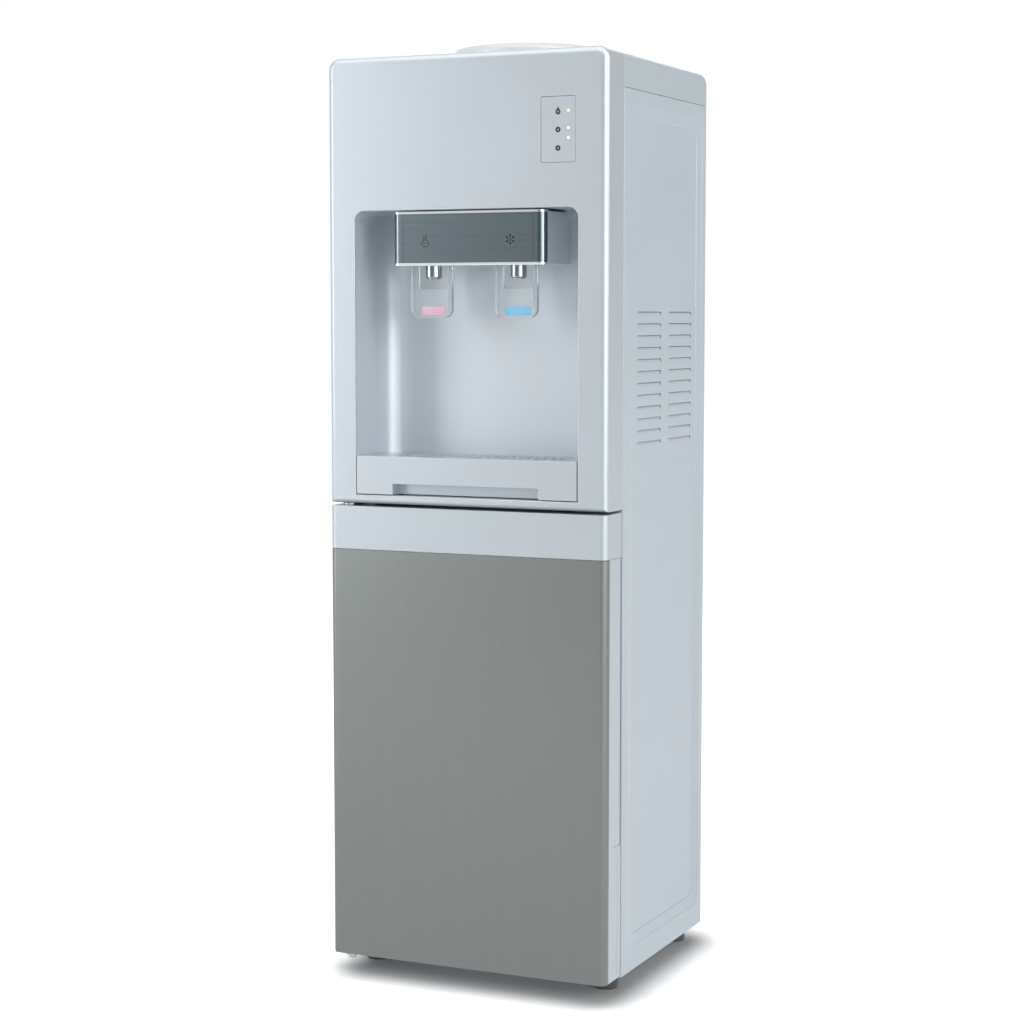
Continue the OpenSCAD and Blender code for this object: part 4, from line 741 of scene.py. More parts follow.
@dataclass(frozen=True)
class BrushedSheet(Finish):
    """Sheet metal brushed one way: fine lines with a few broader ones among them."""

    def surface(self, tree: bpy.types.NodeTree, shader: bpy.types.Node,
                where: bpy.types.NodeSocket) -> None:
        """Draw the brush lines in tone, gloss and relief.

        Args:
            tree: The material's tree.
            shader: The node of the surface.
            where: The place on the piece.
        """
        fine = self.pattern(tree, where, self.grain, 2.0)
        broad = self.pattern(tree, where, tuple(g * 6 for g in self.grain), 1.0)
        self.tone(tree, shader, combine(tree, "ADD", fine, broad), (0.7, 1.3))
        self.gloss(tree, shader, broad)
        self.bump(tree, shader, fine)


# Silver lacquer on ABS: soft sheen with a fine sparkle
SILVER = FlakeLacquer("silver_lacquer_on_abs", light="#BAC3C9", dark="#B4BDC4", rough=(0.33, 0.38),
                      grain=(2.2, 2.2, 2.2), relief=0.008, metallic=0.3, coat=0.25,
                      coat_rough=0.18)
# Body colour sprayed on the ABS cover
COVER = Finish("sprayed_abs_cover", light="#BDC9D0", dark="#B7C3CB", rough=(0.30, 0.38),
               grain=(1.6, 1.6, 1.6), relief=0.008, coat=0.15, coat_rough=0.2)
# Powder coat baked on sheet steel: even bluish grey with orange peel
PANEL = Finish("powder_coat_on_steel", light="#C0CCD4", dark="#BAC6CF", rough=(0.32, 0.40),
               grain=(1.6, 1.6, 1.6), relief=0.012, coat=0.15, coat_rough=0.2)
# Satin moulded ABS of the niche: smooth enough to mirror a lamp as a soft band
NICHE = Finish("satin_niche_abs", light="#CAD2D8", dark="#C5CDD4", rough=(0.36, 0.40),
               grain=(1.2, 1.2, 1.2), relief=0.003, metallic=0.25, coat=0.3, coat_rough=0.3)
# Stainless sheet brushed upright: long fine scratches that spread a light sideways
DOOR_STEEL = BrushedSheet("brushed_stainless_sheet", light="#787D7C", dark="#757A79",
                          rough=(0.30, 0.32), grain=(0.35, 0.35, 90.0), relief=0.0006,
                          metallic=1.0, anisotropy=0.5)
# Dark plate brushed lengthwise
PLATE = BrushedSheet("dark_brushed_plate", light="#687479", dark="#646F75", rough=(0.19, 0.21),
                     grain=(60.0, 0.4, 0.4), relief=0.0006, metallic=1.0, anisotropy=0.4)
# Bright chrome on plastic
CHROME = Finish("bright_chrome_plate", light="#E2E6E9", dark="#D8DDE1", rough=(0.05, 0.10),
                grain=(3.0, 3.0, 3.0), relief=0.002, metallic=1.0)
# Satin chrome of the outlets
SATIN = Finish("satin_chrome_plate", light="#9AA1A6", dark="#90979C", rough=(0.12, 0.16),
               grain=(3.0, 3.0, 3.0), relief=0.001, metallic=1.0)
# Clear polycarbonate of the levers
CLEAR = Finish("clear_polycarbonate", light="#F4F8FA", dark="#ECF2F6", rough=(0.03, 0.04),
               relief=0.0003, clearness=0.84)
# Dyed inserts of the levers
PINK = Finish("pink_moulded_insert", light="#F2CBD9", dark="#EABCCD", rough=(0.25, 0.32))
BLUE = Finish("blue_moulded_insert", light="#93D6FA", dark="#85CBF2", rough=(0.25, 0.32))
# White food-grade plastic
WHITE = Finish("white_food_grade_plastic", light="#F4F7F8", dark="#EEF2F3", rough=(0.26, 0.34))
# Zinc-coated sheet of the frame and the back
ZINC = ZincSheet("hot_dip_galvanised_sheet", light="#B9BEC2", dark="#A3A9AE", rough=(0.32, 0.5),
                 metallic=0.85, grain=(0.6, 0.6, 0.6), relief=0.006)
# Moulded rubber
RUBBER = Finish("moulded_rubber", light="#3A3B3D", dark="#2B2C2E", rough=(0.55, 0.68), relief=0.03)
# Extruded door gasket
GASKET = Finish("soft_grey_gasket", light="#A9AEB2", dark="#989DA1", rough=(0.5, 0.6), relief=0.03)
# Black plastic with a fine moulded texture
BLACK = Finish("textured_black_plastic", light="#26272A", dark="#1A1B1D", rough=(0.4, 0.5),
               grain=(0.7, 0.7, 0.7), relief=0.03)
# Black enamel of the compressor and the condenser
ENAMEL = Finish("black_enamel", light="#1F2022", dark="#151618", rough=(0.22, 0.32),
                grain=(2.5, 2.5, 2.5), relief=0.02, coat=0.3)
# Drawn copper tube
COPPER = Finish("drawn_copper_tube", light="#D08A62", dark="#B06A48", rough=(0.25, 0.4),
                metallic=1.0, blotch=25.0, grain=(0.6, 0.6, 3.0))
# Plain stainless sheet of the tanks
STAINLESS = Finish("plain_stainless_sheet", light="#C3C6C8", dark="#ADB1B4", rough=(0.24, 0.34),
                   metallic=1.0, grain=(12.0, 12.0, 0.6), relief=0.004)
# Foamed polyurethane
FOAM = Finish("foamed_polyurethane", light="#F0E6C4", dark="#DFD2A6", rough=(0.8, 0.92),
              grain=(1.8, 1.8, 1.8), relief=0.25)
# Milky silicone hose
SILICONE = Finish("milky_silicone_hose", light="#E6EAEA", dark="#D6DCDD", rough=(0.4, 0.5))
# Glass-fibre board with green solder mask
BOARD = Finish("green_solder_mask", light="#1F6B3C", dark="#18562F", rough=(0.25, 0.35),
               grain=(1.5, 1.5, 1.5), blotch=12.0)
# Lit ends of the light guides
LIT = Finish("lit_light_guide", light="#E9FFF0", dark="#D8F6E2", rough=(0.15, 0.2), glow=0.9)
# Ink of the printed icons
INK = Finish("dark_printed_ink", light="#2C353B", dark="#242C32", rough=(0.4, 0.5), relief=0.004)
# Lit end of the light guide that glows yellowish green
LIT_GREEN = Finish("lit_green_light_guide", light="#E6F5A8", dark="#D6EC92", rough=(0.15, 0.2),
                   glow=0.9)
# Rockers of the two switches
RED = Finish("red_rocker_plastic", light="#B3201C", dark="#9A1815", rough=(0.2, 0.3))
GREEN = Finish("green_rocker_plastic", light="#1E7F40", dark="#176934", rough=(0.2, 0.3))

SLOT_FINISH: dict[str, Finish] = {
    "silver_plastic": SILVER, "panel_paint": PANEL, "niche_plastic": NICHE,
    "galvanised_steel": ZINC, "door_steel": DOOR_STEEL, "dark_steel": PLATE, "chrome": CHROME,
    "clear_plastic": CLEAR,
    "pink_mark": PINK, "blue_mark": BLUE, "white_plastic": WHITE, "foam": FOAM, "rubber": RUBBER,
    "gasket": GASKET, "black_plastic": BLACK, "black_paint": ENAMEL, "copper": COPPER,
    "stainless": STAINLESS, "silicone": SILICONE, "board": BOARD, "light_guide": LIT,
    "red_rocker": RED, "green_rocker": GREEN,
}


@dataclass
class FrontPanel:
    """Moulded front panel with its openings and the indicator."""

    half_w: float = 160.0
    low: float = 511.0
    high: float = 980.0
    depth: float = 44.0
    corner_r: float = 12.0
    edge_r: float = 7.0
    wall: float = 2.5
    niche_x: float = 128.0
    niche_low: float = 520.5
    niche_high: float = 820.0
    niche_r: float = 11.0
    plate_low: Point = (87.0, 0.3, 865.0)
    plate_high: Point = (125.0, 2.3, 931.0)
    plate_gap: float = 0.3
    light_x: float = 117.0
    light_z: Point = (916.6, 899.3, 889.3)
    icon_x: float = 105.6
    icon_z: Point = (915.4, 897.7, 879.2)
    ink: float = 0.1

    def build(self) -> None:
        """Build the shell, the indicator plate and its printed icons."""
        self.shell()
        self.indicator()

    def shell(self) -> None:
        """Build the hollow panel and round the lips of its openings."""
        w = self.half_w
        piece = Workpiece.block("front_panel", (-w, 0, self.low), (w, self.depth, self.high))
        piece.round(above(self.high), self.corner_r, 8, Axis.Y)
        piece.round(before(0), self.edge_r, 8)
        piece.drop(behind(self.depth))
        piece.wall(self.wall)
        niche = Workpiece.block("niche_tool", (-self.niche_x, -PAST, self.niche_low),
                                (self.niche_x, 8, self.niche_high))
        niche.round(above(self.niche_high), self.niche_r, 8, Axis.Y)
        piece.cut(niche)
        low, high, gap = self.plate_low, self.plate_high, self.plate_gap
        window = Workpiece.block("window_tool", (low[0] - gap, -PAST, low[2] - gap),
                                 (high[0] + gap, 8, high[2] + gap))
        window.round(everywhere, 2.0, 4, Axis.Y)
        piece.cut(window)
        piece.round(lambda p: p.y < 0.02 and abs(p.x) < self.niche_x + 0.2
                    and self.niche_low - 0.2 < p.z < self.niche_high + 0.2, 0.8, 3)
        piece.smooth().dress(SILVER, "cabinet", "silver_plastic", ["front_fascia"])

    def indicator(self) -> None:
        """Build the small plate with a softened rim."""
        plate = Workpiece.block("indicator_face", self.plate_low, self.plate_high)
        plate.round(everywhere, 1.7, 4, Axis.Y)
        plate.round(before(self.plate_low[1]), 0.5, 3)
        for z in self.light_z:
            plate.cut(Workpiece.rod("light_tool", (self.light_x, 1.0, z), 1.4, 8, Axis.Y, 24))
        plate.smooth().dress(SILVER, "cabinet", "silver_plastic", ["indicator_plate"])
        for name, z, finish in zip(("top_light", "middle_light", "lower_light"), self.light_z,
                                   (LIT_GREEN, LIT, LIT)):
            self.light(name, z).dress(finish, "cabinet", "light_guide", ["indicator_lights"])
        self.icons()

    def light(self, name: str, z: float) -> Workpiece:
        """Turn the domed end of a light guide."""
        dome = [(0.0, -0.1), (0.7, 0.0), (1.15, 0.25), (1.35, 0.7), (1.35, 2.2), (0.0, 2.2)]
        return Workpiece.turned(name, dome, (self.light_x, 0, z), Axis.Y, 32).smooth(50)

    def icons(self) -> None:
        """Print the three signs: a drop and two ringed dots, each with a small light middle."""
        face, x, drop_z = self.plate_low[1], self.icon_x, self.icon_z[0]
        arc = [(2.8 * math.sin(math.radians(a)), 2.8 * math.cos(math.radians(a)))
               for a in range(56, 305, 16)]
        outline = [(x + px, face, drop_z + pz) for px, pz in [(0.0, 5.3), *arc]]
        drop = Workpiece.slab("drop_icon", outline, (0, -self.ink, 0))
        drop.cut(Workpiece.rod("middle_tool", (x, face, drop_z + 0.2), 0.75, 4, Axis.Y, 24))
        ring = [(0.7, 0.0), (0.7, -self.ink), (2.9, -self.ink), (2.9, 0.0), (0.7, 0.0)]
        for name, z in zip(("ring_icon_upper", "ring_icon_lower"), self.icon_z[1:]):
            sign = Workpiece.turned(name, ring, (x, face, z), Axis.Y)
            sign.dress(INK, "cabinet", "black_plastic")
        drop.dress(INK, "cabinet", "black_plastic")


@dataclass
class Niche:
    """Recess behind the glass space, as one smooth bay."""

    half_w: float = 128.0
    low: float = 520.5
    high: float = 820.0
    back: float = 78.0
    front: float = 2.5
    wall: float = 2.0
    rear_r: float = 30.0
    front_r: float = 11.0
    roof_r: float = 20.0

    def build(self) -> None:
        """Build the liner: the recess turned inside out, with its wall behind."""
        bay = self.space("niche_bay")
        bay.drop(before(self.front))
        bay.flip().wall(self.wall)
        bay.smooth(40).dress(NICHE, "cabinet", "niche_plastic", ["niche_liner"])

    def space(self, name: str) -> Workpiece:
        """Build the recess as a solid, where three rounded blocks cross.

        Args:
            name: The name of the piece.

        Returns:
            The solid.
        """
        low, high = (-self.half_w, self.front, self.low), (self.half_w, self.back, self.high)
        room = Workpiece.block(name, low, high)
        room.round(behind(self.back), self.rear_r, 16, Axis.Z)
        outline = Workpiece.block("outline_tool", low, high)
        outline.round(above(self.high), self.front_r, 10, Axis.Y)
        profile = Workpiece.block("profile_tool", low, high)
        profile.round(both(behind(self.back), above(self.high)), self.roof_r, 12, Axis.X)
        return room.cut(outline, "INTERSECT").cut(profile, "INTERSECT")


@dataclass
class TapFront:
    """Valve box with its chrome lips and dark band, the nozzles and the clear levers."""

    half_w: float = 87.8
    front: float = 7.5
    low: float = 762.3
    high: float = 819.0
    depth: float = 9.0
    corner_r: float = 8.0
    sheet: float = 1.2
    lip: float = 2.7
    sunk: float = 0.4
    fold_x: float = 74.6
    ink: float = 0.12
    hot_sign: Pair = (-48.5, 785.6)
    cold_sign_z: float = 788.6
    box_x: float = 86.3
    box_front: float = 9.0
    back: float = 78.0
    tap_x: float = 49.0
    tap_d: float = 29.0
    window_w: float = 25.0
    window_d: Pair = (16.7, 47.7)
    lever_w: float = 22.5
    lever_d: Pair = (20.0, 30.0)
    lever_low: float = 708.0
    lever_high: float = 799.7
    lever_wall: float = 2.2
    pivot: Pair = (21.5, 789.5)

    def build(self) -> None:
        """Build the box, its front, the icons, the nozzles and the levers."""
        self.housing()
        self.lips()
        self.band()
        self.hot_icon()
        self.cold_icon()
        self.nozzles()
        self.levers()

    def housing(self) -> None:
        """Build the hollow box with the two windows that the levers hang through."""
        low, high = self.low + 1.5, self.high - 1.5
        box = Workpiece.block("tap_housing", (-self.box_x, self.box_front, low),
                              (self.box_x, self.back, high))
        box.round(before(self.box_front), 6.5, 8, Axis.Z)
        box.round(below(low), 0.8, 3)
        box.cut(Niche().space("clip_tool"), "INTERSECT")
        box.cut(Workpiece.block("room_tool", (-self.box_x + 2, self.box_front + 2, low + 2),
                                (self.box_x - 2, self.back - 12, high - 2)))
        for x in (-self.tap_x, self.tap_x):
            window = Workpiece.block(
                "window_tool", (x - self.window_w, self.window_d[0], low - PAST),
                (x + self.window_w, self.window_d[1], low + PAST))
            window.round(everywhere, 3.0, 4, Axis.Z)
            box.cut(window)
        box.smooth(40).dress(NICHE, "cabinet", "niche_plastic", ["tap_box"])

    def shell(self, name: str, inset: float, low: float, high: float) -> Workpiece:
        """Build a block with round front corners, inset from the chrome's outer face.

        Args:
            name: The name of the piece.
            inset: How far it lies inside; one of more than a millimetre is a cutter.
            low: Its lower end.
            high: Its upper end.

        Returns:
            The block.
        """
        x, d = self.half_w - inset, self.front + inset
        back = self.front + self.depth + (PAST if inset > 1 else 0)
        shell = Workpiece.block(name, (-x, d, low), (x, back, high))
        return shell.round(before(d), self.corner_r - inset, 12, Axis.Z)

    def lips(self) -> None:
        """Build the two chrome lips that run round above and below the band."""
        lips = self.shell("tap_lips", 0.0, self.low, self.high)
        for level in (below(self.low), above(self.high)):
            lips.round(both(level, lambda p: p.y < self.front + self.depth - SLACK), 0.8, 3)
        lips.cut(self.shell("room_tool", self.sheet, self.low + self.sheet,
                            self.high - self.sheet))
        x = self.half_w + PAST
        lips.cut(Workpiece.block("gap_tool", (-x, self.front - PAST, self.low + self.lip),
                                 (x, self.front + self.depth + PAST, self.high - self.lip)))
        lips.soften(0.3, 50, 3)
        lips.smooth().dress(CHROME, "cabinet", "chrome", ["tap_bezel"])

    def band(self) -> None:
        """Build the dark band between the lips, with a fine fold near each end."""
        low, high = self.low + self.lip, self.high - self.lip
        band = self.shell("tap_band", self.sunk, low, high)
        band.cut(self.shell("room_tool", self.sunk + 1.1, low - PAST, high + PAST))
        for x in (-self.fold_x, self.fold_x):
            band.cut(Workpiece.block("fold_tool", (x - 0.2, self.front - PAST, low - PAST),
                                     (x + 0.2, self.front + self.sunk + 0.35, high + PAST)))
        band.smooth().dress(PLATE, "cabinet", "dark_steel", ["tap_plate"])

    def disc(self, name: str, x: float, z: float, outer: float, inner: float = 0.0) -> Workpiece:
        """Turn a thin disc or ring of ink on the band's face.

        Args:
            name: The name of the piece.
            x: Its middle across.
            z: The height of its middle.
            outer: Its outer radius.
            inner: The radius of its hole.

        Returns:
            The workpiece.
        """
        back = self.front + self.sunk
        face = back - self.ink
        points = [(inner, back), (inner, face), (outer, face), (outer, back)]
        if inner:
            points.append(points[0])
        return Workpiece.turned(name, points, (x, 0, z), Axis.Y)

    def bar(self, x: float, z: float, width: float, height: float) -> Workpiece:
        """Lay a thin bar of ink on the band's face.

        Args:
            x: Its middle across.
            z: The height of its middle.
            width: Its width.
            height: Its height.

        Returns:
            The workpiece.
        """
        back = self.front + self.sunk
        bar = Workpiece.block("icon_bar", (x - width / 2, back - self.ink, z - height / 2),
                              (x + width / 2, back, z + height / 2))
        return bar.round(everywhere, min(width, height) * 0.45, 3, Axis.Y)

    def hot_icon(self) -> None:
        """Print the generic heat sign: a ring with a dot, and two rising strokes."""
        x, z = self.hot_sign
        icon = self.disc("hot_icon", x, z, 4.3, 3.1)
        icon.join([self.disc("dot", x, z, 1.0), self.bar(x - 1.5, z + 6.3, 1.1, 5.0),
                   self.bar(x + 1.0, z + 6.9, 1.1, 5.4)])
        icon.dress(INK, "cabinet", "black_plastic")

    def cold_icon(self) -> None:
        """Print the generic snowflake: three crossed bars with a dot at each end."""
        x, z = self.tap_x, self.cold_sign_z
        flake = self.bar(x, z, 1.1, 9.8)
        flake.join([self.disc("dot", x, z + 4.3, 1.3), self.disc("dot", x, z - 4.3, 1.3)])
        arms = [flake.copy("cold_icon", (0, -0.01 * i, 0)) for i in (0, 1, 2)]
        for i, arm in enumerate(arms):
            arm.edit(Element.FACE, everywhere, lambda i=i: bpy.ops.transform.rotate(
                value=math.radians(60 * i), orient_axis="Y", center_override=at(x, self.front, z)))
        bpy.data.objects.remove(flake.obj)
        arms[0].join(arms[1:]).dress(INK, "cabinet", "black_plastic")

    def nozzles(self) -> None:
        """Turn one chrome outlet with its narrower tip, and copy it for the other tap."""
        half = [(4.4, 770.0), (8.5, 770.0), (8.5, 751.0), (8.3, 750.4), (7.9, 750.0), (7.2, 749.8),
                (6.9, 749.5), (6.9, 748.8), (6.7, 748.5), (6.4, 748.4), (4.2, 748.4), (4.0, 748.7),
                (4.0, 753.0), (4.4, 754.0), (4.4, 770.0)]
        hot = Workpiece.turned("tap_nozzles", half, (-self.tap_x, self.tap_d, 0), Axis.Z, 72)
        hot.join([hot.copy("cold_nozzle", (2 * self.tap_x, 0, 0))])
        hot.smooth(40).dress(SATIN, "cabinet", "chrome", ["nozzles"])

    def levers(self) -> None:
        """Build the hot lever with its mark, and copy both for the cold side."""
        x, w, low, top = -self.tap_x, self.lever_w, self.lever_low, self.lever_high
        front, back = self.lever_d
        sheet, inner, mouth_low = back - self.lever_wall, w - self.lever_wall, low + 30
        lever = Workpiece.block("hot_push_lever", (x - w, front, low), (x + w, back, top))
        lever.round(below(low), 9.0, 10, Axis.Y)
        lever.round(above(top), 3.0, 4, Axis.Y)
        tray = Workpiece.block("tray_tool", (x - inner, front - PAST, low + self.lever_wall),
                               (x + inner, sheet, top + PAST))
        tray.round(below(low + self.lever_wall), 7.0, 10, Axis.Y)
        lever.cut(tray)
        mouth = Workpiece.block("mouth_tool", (x - inner + 3.5, front - PAST, mouth_low),
                                (x + inner - 3.5, back + PAST, top + PAST))
        mouth.round(below(mouth_low), 6.0, 8, Axis.Y)
        lever.cut(mouth)
        for side in (-1, 1):
            pin = Workpiece.rod("pin", (x + side * 16.3, *self.pivot), 1.5, 9.4, Axis.X, 24)
            lever.cut(pin, "UNION")
        lever.soften(0.5, 50, 3)
        lever.smooth()
        mark = Workpiece.block("hot_mark", (x - 14, sheet - 0.6, low + 2.8),
                               (x + 14, sheet - 0.05, low + 11.9))
        mark.round(everywhere, 1.0, 3, Axis.Y)
        mark.soften(0.15, 50, 2)
        mark.smooth()
        shift = (2 * self.tap_x, 0, 0)
        lever.copy("cold_push_lever", shift).dress(
            CLEAR, "cold_tap_lever", "clear_plastic", ["cold_lever"])
        mark.copy("cold_mark", shift).dress(
            BLUE, "cold_tap_lever", "blue_mark", ["cold_lever_mark"])
        lever.dress(CLEAR, "hot_tap_lever", "clear_plastic", ["hot_lever"])
        mark.dress(PINK, "hot_tap_lever", "pink_mark", ["hot_lever_mark"])


@dataclass
class DripTray:
    """Pull-out tray with its lift-off grille."""

    half_w: float = 127.1
    low: float = 521.4
    high: float = 562.0
    back: float = 77.5
    rear_r: float = 29.5
    notch_x: float = 84.0
    notch_h: float = 11.5
    notch_d: float = 13.0
    wall: float = 4.0
    basin_front: float = 15.5
    ledge: float = 1.5
    play: float = 0.3
    slots: tuple[int, int] = (22, 2)
    slot_row: float = 204.0
    slot_size: Pair = (5.0, 19.0)
    slot_d: float = 20.5
    slot_step: float = 25.0

    def build(self) -> None:
        """Build the tray and the grille."""
        self.tray()
        self.grille()

    def tray(self) -> None:
        """Build the hollow tray with the finger notch in its front."""
        w, top = self.half_w, self.high
        tray = Workpiece.block("tray_body", (-w, 0, self.low), (w, self.back, top))
        tray.round(behind(self.back), self.rear_r, 10, Axis.Z)
        for name, inset, front, low in (
                ("basin_tool", self.wall, self.basin_front, self.low + 2.5),
                ("seat_tool", self.ledge, self.wall, top - 4.3)):
            x, back = w - inset, self.back - inset
            tool = Workpiece.block(name, (-x, front, low), (x, back, top + PAST))
            tray.cut(tool.round(behind(back), self.rear_r - inset, 10, Axis.Z))
        tray.cut(Workpiece.block("notch_tool", (-self.notch_x, -PAST, self.low - PAST),
                                 (self.notch_x, self.notch_d, self.low + self.notch_h)))
        tray.soften(0.6, 50, 2)
        tray.smooth().dress(SILVER, "tray", "silver_plastic", ["drip_tray"])

    def grille(self) -> None:
        """Build the perforated plate: one slot is shaped and copied along two rows."""
        inset, top = self.ledge + self.play, self.high - 0.2
        w, back = self.half_w - inset, self.back - inset
        plate = Workpiece.block("grille_plate", (-w, self.wall + self.play, top - 3.8),
                                (w, back, top))
        plate.round(behind(back), self.rear_r - inset, 10, Axis.Z)
        (across, along), (width, length) = self.slots, self.slot_size
        slot = Workpiece.block("slot_tool", (-width / 2, 0, top - 8),
                               (width / 2, length, top + PAST))
        slot.round(everywhere, 1.5, 3, Axis.Z)
        pitch = self.slot_row / across
        places = [((i - (across - 1) / 2) * pitch, self.slot_d + j * self.slot_step, 0)
                  for i in range(across) for j in range(along)]
        slots = [slot.copy("slot_copy", place) for place in places]
        slots[0].join(slots[1:])
        plate.cut(slots[0])
        bpy.data.objects.remove(slot.obj)
        plate.soften(0.4, 50, 2)
        plate.smooth().dress(SILVER, "grille", "silver_plastic", ["drip_grille"])


@dataclass
class Door:
    """Door of the cold cabinet: wrapped steel skin, plastic band and frame."""

    half_w: float = 160.0
    depth: float = 39.5
    low: float = 19.2
    skin_top: float = 461.4
    band_low: float = 462.0
    high: float = 508.0
    skin_d: float = 9.8
    sheet: float = 0.8
    edge_r: float = 7.0
    rear_r: float = 4.0
    bar: float = 12.0
    grip_d: float = 1.2
    grip_front: float = 11.3
    grip_low: float = 160.0
    lip_back: float = 42.8

    def closing_lip(self, low: float, high: float) -> Workpiece:
        """Build the lip that closes the gap to the cabinet on the opening side."""
        w = self.half_w
        lip = Workpiece.block("lip_tool", (w - 6, self.depth - 6, low), (w, self.lip_back, high))
        return lip.round(both(behind(self.lip_back), beyond(w)), 1.2, 3, Axis.Z)

    def build(self) -> None:
        """Build the three shells that show."""
        self.skin()
        self.band()
        self.side_frame()

    def skin(self) -> None:
        """Build the steel sheet folded round the door's front."""
        w = self.half_w
        skin = Workpiece.block("door_sheet", (-w, 0, self.low), (w, self.skin_d, self.skin_top))
        skin.round(before(0), self.edge_r, 8, Axis.Z)
        skin.drop(behind(self.skin_d))
        skin.drop(below(self.low))
        skin.drop(above(self.skin_top))
        skin.wall(self.sheet)
        skin.smooth().dress(DOOR_STEEL, "door", "door_steel", ["door_skin"])

    def band(self) -> None:
        """Build the moulded band over the steel."""
        w = self.half_w
        band = Workpiece.block("door_band_shell", (-w, 0, self.band_low),
                               (w, self.depth, self.high))
        band.round(before(0), self.edge_r, 8, Axis.Z)
        band.round(behind(self.depth), self.rear_r, 4, Axis.Z)
        band.drop(below(self.band_low))
        band.wall(2.5)
        band.cut(self.closing_lip(self.band_low, self.high), "UNION")
        band.soften(0.7, 60, 3)
        band.smooth().dress(SILVER, "door", "silver_plastic", ["door_band"])

    def side_frame(self) -> None:
        """Build the plastic bars beside and under the sheet, with the grip."""
        w, back = self.half_w, self.depth
        outer = Workpiece.block("door_bars", (-w, 0, self.low), (w, back, self.skin_top))
        outer.round(before(0), self.edge_r, 8, Axis.Z)
        outer.round(behind(back), self.rear_r, 4, Axis.Z)
        outer.cut(Workpiece.block("room_tool", (-w + self.bar, -PAST, self.low + self.bar),
                                  (w - self.bar, back + PAST, self.skin_top + PAST)))
        sheet = Workpiece.block("sheet_tool", (-w - PAST, -PAST, self.low - PAST),
                                (w + PAST, self.skin_d, self.skin_top + PAST))
        thick = self.sheet
        core = Workpiece.block("core_tool", (-w + thick, thick, self.low - 2 * PAST),
                               (w - thick, back + PAST, self.skin_top + 2 * PAST))
        core.round(before(thick), self.edge_r - thick, 8, Axis.Z)
        sheet.cut(core)
        outer.cut(sheet)
        outer.cut(self.closing_lip(self.low, self.skin_top), "UNION")
        grip = Workpiece.block("grip_tool", (w - self.grip_d, self.grip_front, self.grip_low),
                               (w + PAST, back + PAST, self.skin_top + PAST))
        grip.round(both(before(self.grip_front), below(self.grip_low)), 12, 8, Axis.X)
        outer.cut(grip)
        outer.soften(0.5, 60, 2)
        outer.smooth().dress(SILVER, "door", "silver_plastic", ["door_frame"])


